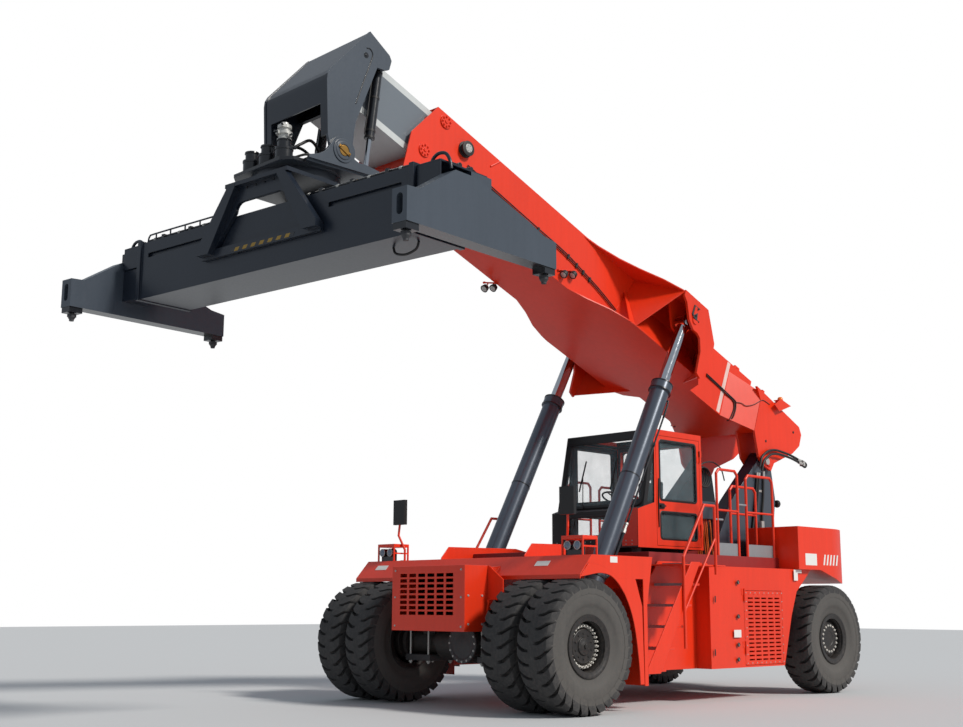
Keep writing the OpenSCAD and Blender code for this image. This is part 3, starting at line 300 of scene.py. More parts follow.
def rod(bm, a, b, r, sides=20, r_end=None):
    a, b = Vector(a), Vector(b)
    u, v = side_frame(b - a)
    skin(bm, [circle(a, u, v, r, sides), circle(b, u, v, r if r_end is None else r_end, sides)])


def stub(bm, place, way, start, end, r, sides=20, r_end=None):
    """Rod along a direction, between two distances from a point."""
    rod(bm, place + way * start, place + way * end, r, sides, r_end)


def make(name, bm, material, body, edge=0.0, sharp=32):
    """Turns what was built into one object that rides on a body."""
    bmesh.ops.recalc_face_normals(bm, faces=bm.faces)
    mesh = bpy.data.meshes.new(name)
    bm.to_mesh(mesh)
    bm.free()
    for polygon in mesh.polygons:
        polygon.use_smooth = True
    mesh.set_sharp_from_angle(angle=math.radians(sharp))
    obj = bpy.data.objects.new(name, mesh)
    bpy.context.collection.objects.link(obj)
    obj.data.materials.append(material)
    if edge:
        round_edges(obj, edge, 30)[1].keep_sharp = True
    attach(obj, body)
    return obj


def bolt(bm, place, axis, r=0.014, h=0.012):
    """Hexagon head on a washer."""
    d = Vector(axis).normalized()
    place = Vector(place)
    stub(bm, place, d, -0.002, 0.003, r * 1.25, 16)
    stub(bm, place, d, 0.003, h, r, 6)


zinc = finish_coat("zinc plated steel", (186, 186, 182), dust=0.2, gloss=0.35, metallic=0.35, bump=0.002)
GRILLE_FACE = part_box("grille_box")[1].x
GRILLE_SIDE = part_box("grille_box")[1].y
bm = bmesh.new()
for side in (-1, 1):
    for z in (1.02, 1.38, 1.72):
        bolt(bm, (GRILLE_FACE, side * 0.62, z), AHEAD, 0.011, 0.009)
    for x in (-0.06, -0.30):
        for z in (1.05, 1.40):
            bolt(bm, (GRILLE_FACE + x, side * GRILLE_SIDE, z), LEFT * side, 0.012, 0.01)
make("grille_bolts", bm, zinc, "chassis")


# Axle clamps and gearbox cover
# Cast saddles over and under the drive axle are pulled together by long bright
# bolts, and a ring of bolts holds the round cover of the differential.
AXLE_Z = (front_tyre_low.z + front_tyre_high.z) / 2
AXLE_TUBE_R = 0.165
COVER_X = 0.283
COVER_Y = 0.230
COVER_BOLTS_R = 0.229


def at(x, y, z):
    """A point given from the middle of the front axle's line on the ground."""
    return Vector((FRONT_AXLE + x, y, z))


def put(place, points):
    """Points given in one of the machine's own frames."""
    return [place(*p) for p in points]


def oblong(x0, x1, z0, z1):
    """The four corners in turn of an oblong."""
    return (x0, z0), (x1, z0), (x1, z1), (x0, z1)


def lathe(bm, profile, centre, axis, sides=48, closed=False):
    """Turns a profile of (along the axis, radius) about the axis through centre."""
    d = Vector(axis).normalized()
    u, v = side_frame(d)
    skin(bm, [circle(Vector(centre) + d * along, u, v, radius, sides) for along, radius in profile], closed)


def slab(bm, outline, depth):
    """Plate between an outline of points and the same outline moved by depth."""
    skin(bm, [outline, [Vector(p) + Vector(depth) for p in outline]])


def brick(bm, low, high, place=None):
    """Block between two corners, given in one of the machine's frames or in the world."""
    outline = [(x, y, low[2]) for x, y in oblong(low[0], high[0], low[1], high[1])]
    slab(bm, put(place, outline) if place else outline, (0, 0, high[2] - low[2]))


bm, bm_bolts = bmesh.new(), bmesh.new()
for side in (-1, 1):
    for low, high in ((-AXLE_TUBE_R - 0.075, -AXLE_TUBE_R + 0.004), (AXLE_TUBE_R - 0.004, AXLE_TUBE_R + 0.034)):
        brick(bm, (-0.22, side * 0.44, AXLE_Z + low), (0.235, side * 0.92, AXLE_Z + high), at)
    for y in (side * 0.50, side * 0.85):
        for x in (-0.19, 0.205):
            rod(bm_bolts, at(x, y, AXLE_Z - AXLE_TUBE_R - 0.115), at(x, y, AXLE_Z + AXLE_TUBE_R + 0.05), 0.014, 16)
            for z in (-AXLE_TUBE_R - 0.076, AXLE_TUBE_R + 0.056):
                rod(bm_bolts, at(x, y, AXLE_Z + z - 0.022), at(x, y, AXLE_Z + z), 0.026, 6)
cover = at(COVER_X, COVER_Y, AXLE_Z)
lathe(bm, [(-0.010, 0.252), (0.012, 0.252), (0.016, 0.205), (0.004, 0.190), (0.000, 0.120), (0.010, 0.100),
           (0.012, 0.0001)], cover, AHEAD, 64)
for spot in circle(cover + AHEAD * 0.014, LEFT, UP, COVER_BOLTS_R, 16):
    bolt(bm_bolts, spot, AHEAD, 0.011, 0.010)
make("axle_saddles", bm, graphite_steel, "chassis", edge=0.006)
make("axle_bolts", bm_bolts, zinc, "chassis")


# Wheel arch sheets
# The outer skirt's sheet follows the round of the wheel down to the lip in
# front, with a rolled bead welded along its edge.
SKIRT_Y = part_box("fenders")[1].y
ARCH_EDGE = ((0.134, 1.628), (0.023, 1.645), (-0.100, 1.665), (-0.208, 1.678), (-0.330, 1.671), (-0.442, 1.642),
             (-0.560, 1.566), (-0.650, 1.475), (-0.711, 1.398), (-0.790, 1.262), (-0.850, 1.115), (-0.893, 0.955),
             (-0.928, 0.760), (-0.958, 0.540), (-0.972, 0.330))
SKIRT_LINE = ((0.134, 1.634), (-0.070, 1.850), (-0.560, 1.850), (-0.900, 1.600), (-1.020, 1.280), (-1.040, 0.330))


def smooth_path(points, steps=6):
    """A curve through the points, with more points between them."""
    p = [Vector(q) for q in points]
    if len(p) < 3:
        return p
    p = [p[0] * 2 - p[1]] + p + [p[-1] * 2 - p[-2]]
    path = []
    for a, b, c, d in zip(p, p[1:], p[2:], p[3:]):
        for t in (k / steps for k in range(steps)):
            path.append(0.5 * (2 * b + (c - a) * t + (2 * a - 5 * b + 4 * c - d) * t * t
                               + (3 * b - a - 3 * c + d) * t ** 3))
    return path + [p[-2]]


def hose(bm, points, r, sides=12, steps=6):
    """Round hose or pipe along a smooth curve through the points."""
    path = smooth_path(points, steps)
    rings = []
    u = None
    for i, point in enumerate(path):
        d = (path[min(i + 1, len(path) - 1)] - path[max(i - 1, 0)]).normalized()
        u = side_frame(d)[0] if u is None else (u - d * u.dot(d)).normalized()
        rings.append(circle(point, u, d.cross(u), r, sides))
    skin(bm, rings)


bm = bmesh.new()
for side in (-1, 1):
    edge = smooth_path([at(x, side * (SKIRT_Y - 0.001), z) for x, z in ARCH_EDGE], 3)
    line = [at(x, side * (SKIRT_Y - 0.001), z) for x, z in SKIRT_LINE]
    slab(bm, edge + line[::-1], (0, -side * 0.013, 0))
    hose(bm, [p - LEFT * side * 0.008 for p in edge], 0.0085, 8, 1)
make("arch_sheets", bm, red_paint, "chassis", edge=0.001)


# Tyres
# Port tyres of hard black rubber, moulded with thirty deep slanted lugs on
# each shoulder; the sidewalls are a lighter grey than the tread, partly for the yard's dust and partly as painted
# sunlight.
TYRE_W = 0.500
TYRE_R = 0.803
BEAD_R = 0.352
LUGS = 30
LUG_DEEP = 0.058
TREAD_BASE = TYRE_R - LUG_DEEP
SIDEWALL_R = TREAD_BASE - 0.075

# The sidewall finish is lighter than the tread rubber: part dust, part painted sunlight on the lit sidewall.
sidewall_dust_and_sunlight = finish_coat("sidewalls dusty and painted sunlit", (72, 70, 68), dust=0.5, gloss=0.7, fade=0.15, bump=0.004,
                       dust_colour=(108, 102, 96))
rubber = finish_coat("tyre rubber", (38, 38, 40), dust=0.5, gloss=0.74, fade=0.08, bump=0.006,
                     dust_colour=(112, 108, 104))


def tyre(bm, centre, turned):
    half = TYRE_W / 2
    bead = [(0.075, -0.03), (0.070, 0), (0.052, 0.012), (0.048, 0.045), (0.034, 0.095), (0.022, 0.125),
            (0.015, 0.135), (0.004, 0.165), (0.001, 0.22), (0.004, 0.27)]
    side = [(y - half, BEAD_R + r) for y, r in bead]
    side += [(0.012 - half, TREAD_BASE - 0.07), (0.030 - half, TREAD_BASE - 0.030),
             (0.075 - half, TREAD_BASE - 0.004), (-0.080, TREAD_BASE), (-0.050, TYRE_R - 0.008),
             (-0.030, TYRE_R - 0.003)]
    lathe(bm, side + [(-y, r) for y, r in side[::-1]], centre, LEFT, 96, closed=True)
    pitch = 2 * math.pi / LUGS
    for shoulder in (-1, 1):
        for i in range(LUGS):
            first = pitch * (i + 0.25 * shoulder + turned)
            rows = []
            for y, low, top, lean, wide in ((0.010, 0.020, 0.0020, 0.00, 0.420), (0.085, 0.020, 0.0005, 0.02, 0.395),
                                            (half - 0.115, 0.020, 0.001, 0.08, 0.360),
                                            (half - 0.060, 0.030, 0.004, 0.28, 0.345),
                                            (half - 0.016, 0.060, 0.022, 0.50, 0.335),
                                            (half - 0.003, 0.110, 0.070, 0.72, 0.350),
                                            (half - 0.0005, 0.130, 0.120, 0.92, 0.430)):
                mid = first + pitch * lean
                foot, crown = (TREAD_BASE - low, pitch * wide * 1.12), (TYRE_R - top, pitch * wide)
                rows.append([centre + Vector((r * math.cos(a), shoulder * y, r * math.sin(a)))
                             for r, a in ((foot[0], mid - foot[1]), (foot[0], mid + foot[1]),
                                          (crown[0], mid + crown[1]), (crown[0], mid - crown[1]))])
            skin(bm, rows)


TYRE_PLACES = {"tyres_front_left": ("wheels_front_left", 1), "tyres_front_right": ("wheels_front_right", -1),
               "tyre_rear_left": ("wheel_rear_left", 1), "tyre_rear_right": ("wheel_rear_right", -1)}
wheel_centres = {}
for node, (body, side) in TYRE_PLACES.items():
    low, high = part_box(node)
    axle = Vector(((low.x + high.x) / 2, 0, (low.z + high.z) / 2))
    outer = max(abs(low.y), abs(high.y)) - TYRE_W / 2
    inner = min(abs(low.y), abs(high.y)) + TYRE_W / 2
    wheel_centres[node] = [axle + LEFT * side * y for y in sorted({round(inner, 3), round(outer, 3)})]
    bm = bmesh.new()
    for k, centre in enumerate(wheel_centres[node]):
        tyre(bm, centre, 0.37 * k + 0.13 * side)
    dressed = make("detailed_" + node, bm, rubber, body, edge=0.004, sharp=38)
    dressed.data.materials.append(sidewall_dust_and_sunlight)
    # Faces inside the sidewall radius get the lighter finish, which is partly dust and partly painted sunlight.
    for face in dressed.data.polygons:
        if math.hypot(face.center.x - axle.x, face.center.z - axle.z) < SIDEWALL_R:
            face.material_index = 1
    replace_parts(dressed, node)


# Rims and hubs
# Pressed black steel discs with a rolled edge, held to the hub by a ring of
# bright wheel nuts, with a planetary hub on the driven wheels.
rim_paint = finish_coat("black rim paint", (20, 20, 22), dust=0.45, gloss=0.38, bump=0.004)
nut_steel = finish_coat("bright wheel nuts", (214, 210, 202), dust=0.1, gloss=0.35, metallic=0.25, bump=0.002)
FRONT_NUTS = (28, 0.0165, 0.165, 0.243, 0.052)
REAR_NUTS = (18, 0.0155, 0.107, 0.195, 0.018)
FRONT_HUB = ((-0.28, 0.20), (-0.28, 0.278), (-0.165, 0.272), (-0.165, 0.216), (-0.150, 0.208), (-0.134, 0.202),
             (-0.130, 0.194), (-0.134, 0.185), (-0.132, 0.110), (-0.115, 0.100), (-0.110, 0.070), (-0.104, 0.060),
             (-0.098, 0.030), (-0.080, 0.026), (-0.078, 0.0001))
REAR_HUB = ((-0.17, 0.262), (-0.135, 0.262), (-0.122, 0.252), (-0.118, 0.236), (-0.108, 0.230), (-0.106, 0.110),
            (-0.112, 0.100), (-0.112, 0.0001))
ROLLED_EDGE = ((-0.062, 0.300), (-0.052, 0.372), (-0.040, 0.377), (-0.032, 0.372), (-0.030, 0.362), (-0.040, 0.340),
               (-0.046, 0.318), (-0.050, 0.300))
RIM_WELL = ((-0.20, 0.292), (-0.085, 0.292), (-0.075, 0.300), (-0.075, 0.316), (-0.20, 0.316))

for node, (body, side) in TYRE_PLACES.items():
    name = node.replace("tyre", "rim")
    dress(name, rim_paint, 0.004)
    out = LEFT * side
    face = wheel_centres[node][-1] + out * TYRE_W / 2
    bm = bmesh.new()
    for mid in wheel_centres[node]:
        for way in (-out, out):
            for profile in (ROLLED_EDGE, RIM_WELL):
                lathe(bm, profile, mid + way * TYRE_W / 2, way, 96, closed=True)
    make(name + "_flanges", bm, rim_paint, body, sharp=40)
    count, nut_r, deep, ring, tall = FRONT_NUTS if "front" in node else REAR_NUTS
    bm = bmesh.new()
    for spot in circle(face - out * deep, AHEAD, UP, ring, count):
        stub(bm, spot, out, -0.004, tall * 0.55, nut_r * 1.2, 6)
        stub(bm, spot, out, tall * 0.55, tall, nut_r * 0.7, 12)
    make(name + "_nuts", bm, nut_steel, body)
    bm = bmesh.new()
    if "front" in node:
        lathe(bm, FRONT_HUB, face, out, 72)
        for spot in circle(face - out * 0.133, AHEAD, UP, 0.150, 10, math.pi / 10):
            stub(bm, spot, out, 0, 0.010, 0.010, 6)
    else:
        lathe(bm, REAR_HUB, face, out, 72)
    make(name + "_hub", bm, rim_paint, body, edge=0.002)


# Boom
# A welded box boom of high-strength plate, sprayed orange-red, with a mast
# section in light grey that slides out of it on wear pads.
BOOM_ANGLE = math.radians(21.5)
BOOM_WAY = Vector((math.cos(BOOM_ANGLE), 0, math.sin(BOOM_ANGLE)))
BOOM_UP = Vector((-math.sin(BOOM_ANGLE), 0, math.cos(BOOM_ANGLE)))
BOOM_FRONT = 8.360
BOOM_SIDE = 0.500
PIVOT = at(-6.030, 0, 3.580)
WEB_LOW = BOOM_UP.dot(PIVOT) + 0.520
WEB_HIGH = BOOM_UP.dot(PIVOT) + 1.104
WEB_BLUR = 0.004


def on_boom(u, y, v):
    """A point given along the boom, to its left and square above its underside line."""
    return PIVOT + BOOM_WAY * u + BOOM_UP * v + LEFT * y


mast_paint = finish_coat("light grey mast paint", (196, 200, 200), dust=0.25, gloss=0.35, coat=0.1, bump=0.005)
tree = mast_paint.node_tree
up_the_mast = add_node(tree, "VectorMath", {0: add_node(tree, "TexCoord", {}).outputs["Object"], 1: BOOM_UP})
up_the_mast.operation = "DOT_PRODUCT"
above = up_the_mast.outputs["Value"]
web = reckon(tree, "MULTIPLY", ramp(tree, above, WEB_LOW, WEB_LOW + WEB_BLUR),
             ramp(tree, above, WEB_HIGH, WEB_HIGH - WEB_BLUR))
surface = next(n for n in tree.nodes if n.type == "GROUP")
web_colour = mix_colours(tree, web, surface.outputs["Colour"], srgb((104, 112, 120)))
feed(tree, tree.nodes["Principled BSDF"], {"Base Color": web_colour})
boom_skin = dress("boom_outer", red_paint, 0.006)
dress("boom_inner", mast_paint, 0.004)

bm = bmesh.new()
for side in (-1, 1):
    out = LEFT * side
    for u, v in ((BOOM_FRONT - 0.450, 1.150), (BOOM_FRONT - 0.280, 0.560)):
        hub = on_boom(u, side * BOOM_SIDE, v) + out * 0.014
        for spot in circle(hub, AHEAD, UP, 0.066, 8):
            stub(bm, spot, out, -0.006, 0.022, 0.016, 14, 0.013)
        stub(bm, hub, out, -0.006, 0.016, 0.030, 24, 0.026)
make("pad_bolts", bm, red_paint, "boom", edge=0.002)


# Boom's pipes and lamps
# Black pipes are clamped to the boom's side sheets, round lamps hang from red
# bars, and the cable's drums stand out near the boom's mouth.
bpy.context.view_layer.update()
into_boom = boom_skin.matrix_world.inverted()


def on_skin(u, v, side, out):
    """A point that stands off the boom's side sheet, given along and above its line."""
    start = into_boom @ on_boom(u, side * 2.2, v)
    found, spot = boom_skin.ray_cast(start, (into_boom.to_3x3() @ -LEFT * side).normalized())[:2]
    place = on_boom(u, side * BOOM_SIDE, v)
    if found:
        place.y = (boom_skin.matrix_world @ spot).y
    return place + LEFT * side * out


def boom_line(points, y):
    """Points given along and above the boom, all at one distance to its left."""
    return [on_boom(u, y, v) for u, v in points]


PIPE_RUN = ((7.36, 0.824), (6.60, 0.800), (5.90, 0.784), (5.25, 0.770), (4.62, 0.690), (4.40, 0.655), (4.18, 0.610),
            (3.98, 0.565))
PIPE_CLAMPS = ((7.28, 0.820), (5.86, 0.783), (5.18, 0.768), (4.98, 0.742), (4.82, 0.718), (4.66, 0.696))
LOOSE_PIPES = (((1.666, 0.761), (1.20, 0.740), (1.02, 0.696), (0.925, 0.650), (0.905, 0.577), (0.897, 0.498),
                (0.916, 0.350), (0.935, 0.300)),
               ((1.660, 0.733), (1.19, 0.712), (1.03, 0.674), (0.955, 0.632), (0.932, 0.577), (0.924, 0.498),
                (0.943, 0.360), (0.960, 0.310)))
black_rubber = finish_coat("hose rubber", (18, 18, 19), dust=0.25, gloss=0.5, bump=0.002)
bm, bm_clips = bmesh.new(), bmesh.new()
for side in (-1, 1):
    for lower in (0.0, 0.034):
        hose(bm, [on_skin(u, v - lower, side, 0.016) for u, v in PIPE_RUN], 0.0085, 8, 4)
    for u, v in PIPE_CLAMPS:
        slab(bm_clips, boom_line(oblong(u - 0.014, u + 0.014, v - 0.052, v + 0.020), side * (BOOM_SIDE - 0.001)),
             LEFT * side * 0.028)
    for line in LOOSE_PIPES:
        hose(bm, [on_skin(u, v, side, 0.013) for u, v in line], 0.0095, 8, 4)
make("boom_pipes", bm, black_rubber, "boom")
make("pipe_clamps", bm_clips, black_steel, "boom", edge=0.002)

LAMP_WAY = (0.75, 0, -0.65)
LAMP_SHELL = ((-0.045, 0.022), (-0.030, 0.048), (0.022, 0.058), (0.030, 0.058), (0.030, 0.050), (0.026, 0.0001))
LAMP_PLACES = {1: (((5.30, 0.450), (4.96, 0.640)), ((5.20, 0.506), (5.03, 0.600))),
               -1: (((5.70, 0.200), (5.36, 0.400)), ((5.61, 0.240), (5.46, 0.340)))}
bm, bm_lamp, bm_lens = bmesh.new(), bmesh.new(), bmesh.new()
for side, (((u0, v0), (u1, v1)), lamps) in LAMP_PLACES.items():
    hose(bm, boom_line(((6.985, 1.075), (6.86, 1.245)), side * (BOOM_SIDE + 0.006)), 0.012, 8, 1)
    bar_y = side * (BOOM_SIDE + 0.020)
    rod(bm, on_boom(u0, bar_y, v0), on_boom(u1, bar_y, v1), 0.012, 10)
    for u, v in ((u0 - 0.01, v0 + 0.006), (u1 + 0.01, v1 - 0.006)):
        rod(bm, on_boom(u, side * (BOOM_SIDE - 0.002), v), on_boom(u, side * (BOOM_SIDE + 0.026), v), 0.016, 10)
    for u, v in lamps:
        hub = on_boom(u, side * (BOOM_SIDE + 0.055), v - 0.070)
        rod(bm, on_boom(u, bar_y, v), hub, 0.010, 8)
        lathe(bm_lamp, LAMP_SHELL, hub, LAMP_WAY, 28)
        lathe(bm_lens, [(0.0262, 0.048), (0.031, 0.040), (0.033, 0.0001)], hub, LAMP_WAY, 28)
make("boom_lamp_brackets", bm, red_paint, "boom")
make("boom_lamps", bm_lamp, black_steel, "boom")
make("boom_lamp_lenses", bm_lens, zinc, "boom")

bm, bm_face = bmesh.new(), bmesh.new()
for side in (-1, 1):
    hub = on_boom(7.48, side * (BOOM_SIDE + 0.002), 1.00)
    out = LEFT * side
    lathe(bm, [(-0.01, 0.112), (0.020, 0.112), (0.024, 0.085), (0.060, 0.085), (0.064, 0.105), (0.078, 0.105),
               (0.082, 0.080), (0.086, 0.0001)], hub, out, 40)
    stub(bm_face, hub, out, 0.080, 0.090, 0.062, 32, 0.058)
    for spot in circle(hub + out * 0.088, AHEAD, UP, 0.040, 6):
        stub(bm_face, spot, out, 0, 0.008, 0.008, 6)
make("sheave_drums", bm, black_steel, "boom", edge=0.002)
make("sheave_faces", bm_face, zinc, "boom", edge=0.002)


# Boom's tail fittings
# A bracket carries the amber lamp at the root, steel eyes hold a thin wire, and
# grey keeper plates stop the pins of the lift cylinders from turning.
CHEEK_OUT = 0.770
KEEPER = ((2.985, 0.800), (3.025, 1.010), (3.165, 1.010), (3.180, 0.850), (3.130, 0.795))
WIRE = ((0.905, 0.605, 0.640), (0.822, 0.640, 0.664), (0.739, 0.678, 0.655), (0.620, 0.732, 0.735),
        (0.510, 0.774, 0.860), (0.430, 0.776, 0.900), (0.264, 0.776, 0.915))
TAIL_HOSE = ((0.262, -0.220), (0.262, -0.059), (0.180, 0.075), (0.080, 0.165), (-0.070, 0.245), (-0.231, 0.295),
             (-0.450, 0.350), (-0.636, 0.382), (-0.850, 0.410))
TAIL_LOOP = ((-0.80, 0.410), (-0.90, 0.425), (-0.955, 0.405), (-0.930, 0.350), (-0.840, 0.335), (-0.780, 0.335))
faded_white = finish_coat("faded white stripe", (228, 196, 188), dust=0.4, gloss=0.45, fade=0.3, bump=0.001)
amber = finish_coat("amber lamp", (238, 120, 10), dust=0.05, gloss=0.15, fade=0.03, bump=0.001)
bm, bm_dark, bm_amber, bm_hose, bm_ends, bm_keep, bm_stripe = (bmesh.new() for _ in range(7))
for side in (-1, 1):
    out = LEFT * side
    slab(bm_stripe, boom_line(((1.150, 0.330), (1.235, 0.330), (1.205, 1.245), (1.125, 1.245)),
                              side * (BOOM_SIDE + 0.0005)), out * 0.0015)
    hose(bm_dark, [on_boom(u, side * y, v) for u, y, v in WIRE], 0.006, 6, 4)
    slab(bm_keep, [on_skin(u, v, side, -0.002) for u, v in KEEPER], out * 0.016)
    for u, v in ((3.085, 0.975), (3.105, 0.850)):
        bolt(bm_keep, on_skin(u, v, side, 0.012), out, 0.014, 0.014)
    for u, v in ((0.179, 0.290), (-0.510, 0.800)):
        rod(bm_dark, on_boom(u, side * (CHEEK_OUT - 0.001), v), on_boom(u, side * (CHEEK_OUT + 0.006), v), 0.020, 20)
for y, wide, outline in (
        (CHEEK_OUT - 0.06, 0.012, ((0.26, 0.925), (0.06, 0.885), (-0.22, 1.135), (-0.08, 1.140), (0.00, 1.120))),
        (0.690, 0.150, ((0.07, 1.112), (-0.22, 1.135), (-0.22, 1.127), (0.07, 1.104))),
        (0.835, 0.005, ((0.08, 1.112), (0.22, 0.935), (0.06, 0.890), (-0.215, 1.127)))):
    slab(bm, boom_line(outline, y), LEFT * wide)
lathe(bm_amber, [(-0.005, 0.046), (0.010, 0.048), (0.050, 0.042), (0.070, 0.026), (0.076, 0.0001)],
      on_boom(-0.01, 0.765, 1.122), UP, 28)
for way, shift in ((0.0, 0.0), (0.030, 0.055)):
    hose(bm_hose, [on_boom(u - shift * 0.6, CHEEK_OUT + 0.045 + way, v - shift) for u, v in TAIL_HOSE], 0.019, 12, 4)
hose(bm_hose, boom_line(TAIL_LOOP, CHEEK_OUT + 0.060), 0.015, 10, 4)
brick(bm_ends, on_boom(-0.88, CHEEK_OUT + 0.022, 0.345), on_boom(-0.80, CHEEK_OUT + 0.098, 0.395))
for shift in (0.0, 0.055):
    ends = boom_line(((-0.700, 0.385 - shift), (-0.800, 0.405 - shift)), CHEEK_OUT + 0.045 + shift * 0.55)
    rod(bm_ends, *ends, 0.024, 12)
rod(bm_ends, on_boom(0.060, CHEEK_OUT - 0.002, -0.021), on_boom(0.060, CHEEK_OUT + 0.030, -0.021), 0.055, 24)
make("tail_stripes", bm_stripe, faded_white, "boom")
make("pin_keepers", bm_keep, graphite_steel, "boom", edge=0.002)
make("tail_bracket", bm, red_paint, "boom", edge=0.002)
make("tail_wire", bm_dark, black_steel, "boom")
make("amber_lamp", bm_amber, amber, "boom")
make("tail_hoses", bm_hose, black_rubber, "boom")
make("tail_fittings", bm_ends, zinc, "boom", edge=0.002)


# Boom head, yoke and dampers
# Two rounded slate plates and a folded blue-black cover close the mast's end
# around the brass pins that the spreader's yoke and its dampers hang from.
SIDES = ((1, "left"), (-1, "right"))
HEAD_U = BOOM_FRONT + 0.740 + 0.190
HEAD_Y = 0.650
HEAD_PIN = on_boom(HEAD_U, 0, -0.390)
SLEW_TOP = 6.440
SLEW_X = HEAD_PIN.x + 0.170
YOKE_OUT = 0.656 + 0.040
# Points of a black line along each head plate's groove, which is painted shade for the groove.
HEAD_GROOVE_SHADE_LINE = ((9.480, 1.085), (9.430, 1.108), (9.372, 1.070), (9.356, 0.960), (9.352, 0.700), (9.341, 0.310))
HEAD_PLUG = (9.451, 0.993)
COLLAR = ((-0.001, 0.150), (0.010, 0.150), (0.013, 0.145), (0.013, 0.118), (0.022, 0.112), (0.024, 0.104),
          (0.024, 0.074), (0.006, 0.070), (-0.001, 0.070))


def face_parts(node, chooser, *materials):
    """Gives a node's faces one of several finishes, chosen by place and direction."""
    obj = dress(node, materials[0], 0.005)
    for extra in materials[1:]:
        obj.data.materials.append(extra)
    for polygon in obj.data.polygons:
        polygon.material_index = chooser(polygon.center, polygon.normal)


def yoke_look(c, n):
    return 1 if c.x > SLEW_X + 0.24 or (abs(c.y) < 0.60 and c.z > SLEW_TOP) else 0


navy_paint = finish_coat("blue black paint", (22, 30, 42), dust=0.07, gloss=0.3, coat=0.2, bump=0.005,
                         dust_colour=(110, 112, 118))
slate_paint = finish_coat("slate paint", (64, 72, 82), dust=0.13, gloss=0.32, coat=0.2, bump=0.005,
                          dust_colour=(120, 122, 126))
brass = finish_coat("brass pin", (176, 134, 70), dust=0.2, gloss=0.3, metallic=0.9, bump=0.001)
chrome = finish_coat("hard chrome", (200, 203, 208), dust=0.05, gloss=0.08, fade=0.02, metallic=1.0, bump=0.0005)
hydraulic_black = finish_coat("black motor paint", (20, 23, 29), dust=0.2, gloss=0.22, coat=0.4, bump=0.002)
face_parts("boom_head", lambda c, n: 1 if abs(c.y) < HEAD_Y - 0.020 else 0, slate_paint, navy_paint)
face_parts("yoke", yoke_look, slate_paint, hydraulic_black)

bm, bm_pin, bm_collar = bmesh.new(), bmesh.new(), bmesh.new()
for side in (-1, 1):
    out = LEFT * side
    # A black line in the head plate's groove is painted shade; the plug beside it is real.
    hose(bm, boom_line(HEAD_GROOVE_SHADE_LINE, side * (HEAD_Y + 0.0008)), 0.0085, 8, 5)
    plug = on_boom(HEAD_PLUG[0], side * HEAD_Y, HEAD_PLUG[1])
    stub(bm, plug, out, -0.002, 0.004, 0.036, 32)
    stub(bm, plug, out, 0.002, 0.012, 0.016, 6)
    hub = HEAD_PIN + out * YOKE_OUT
    lathe(bm_pin, [(0.008, 0.068), (0.022, 0.068), (0.025, 0.063), (0.0255, 0.0001)], hub, out, 48)
    slope = Vector((math.cos(0.5), 0, math.sin(0.5)))
    cross = Vector((-slope.z, 0, slope.x))
    keeper = [hub + out * 0.024 + slope * a + cross * b for a, b in oblong(-0.095, 0.095, -0.022, 0.022)]
    slab(bm_pin, keeper, out * 0.012)
    for along in (-0.078, 0.078):
        bolt(bm_pin, hub + slope * along + out * 0.036, out, 0.012, 0.010)
    lathe(bm_collar, COLLAR, hub, out, 64, closed=True)
make("head_groove_shade_and_plugs", bm, hydraulic_black, "boom_slide")
make("head_pins", bm_pin, brass, "spreader_yoke", edge=0.002)
make("head_pin_collars", bm_collar, slate_paint, "spreader_yoke", edge=0.002)

DAMPER_Y = 0.5
DAMPER_LOW = Vector((HEAD_PIN.x - 0.500, 0, SLEW_TOP + 0.090))
DAMPER_WAY = (on_boom(HEAD_U - 0.140, 0, 1.100) - DAMPER_LOW).normalized()
for side, name in SIDES:
    dress("damper_barrel_" + name, hydraulic_black, 0.003)
    dress("damper_rod_" + name, chrome, 0.002)
    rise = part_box("damper_barrel_" + name)[0].z - DAMPER_LOW.z
    mouth = DAMPER_LOW + LEFT * side * DAMPER_Y + DAMPER_WAY * rise / DAMPER_WAY.z
    bm = bmesh.new()
    for along, r in ((0.012, 0.067), (0.10, 0.066), (0.55, 0.066), (0.90, 0.066)):
        rod(bm, mouth + DAMPER_WAY * along, mouth + DAMPER_WAY * (along + 0.028), r, 40)
    hose(bm, [mouth + DAMPER_WAY * along + AHEAD * off
              for along, off in ((0.06, 0.060), (0.08, 0.085), (0.35, 0.078), (0.80, 0.078))], 0.008, 8)
    make("damper_bands_" + name, bm, black_steel, "damper_barrel_" + name, edge=0.002)


# Slewing motors and ring
# Black hydraulic motors with silver valve blocks stand on the nose plate and
# turn the toothed, greased slewing ring under the yoke.
VALVE_STACK = ((0.240, 0.088), (0.262, 0.088), (0.268, 0.070), (0.310, 0.070), (0.314, 0.094), (0.345, 0.094),
               (0.349, 0.066), (0.385, 0.066), (0.389, 0.084), (0.430, 0.084), (0.436, 0.050), (0.465, 0.046),
               (0.468, 0.0001))
VALVE_BLOCKS = ((0.0, 0.085, 0.290), (0.085, 0.0, 0.330), (-0.02, -0.090, 0.365), (0.060, 0.050, 0.410))
YOKE_HOSES = (
    ((0.33, 0.30, 0.16), (0.20, 0.34, 0.26), (0.02, 0.30, 0.36), (-0.18, 0.20, 0.30), (-0.34, 0.16, 0.06)),
    ((0.30, -0.04, 0.18), (0.16, -0.02, 0.30), (-0.02, 0.04, 0.34), (-0.22, 0.06, 0.22), (-0.36, 0.06, 0.04)),
    ((0.33, -0.30, 0.16), (0.20, -0.34, 0.24), (0.02, -0.30, 0.32), (-0.18, -0.22, 0.26), (-0.34, -0.18, 0.04)))
THIN_HOSE = ((0.36, 0.42, 0.03), (0.20, 0.50, 0.09), (-0.05, 0.52, 0.06), (-0.30, 0.50, 0.03))


def on_nose(x, y, z):
    """A point given ahead of the slewing axis, to its left and above the nose plate."""
    return Vector((SLEW_X + x, y, SLEW_TOP + z))


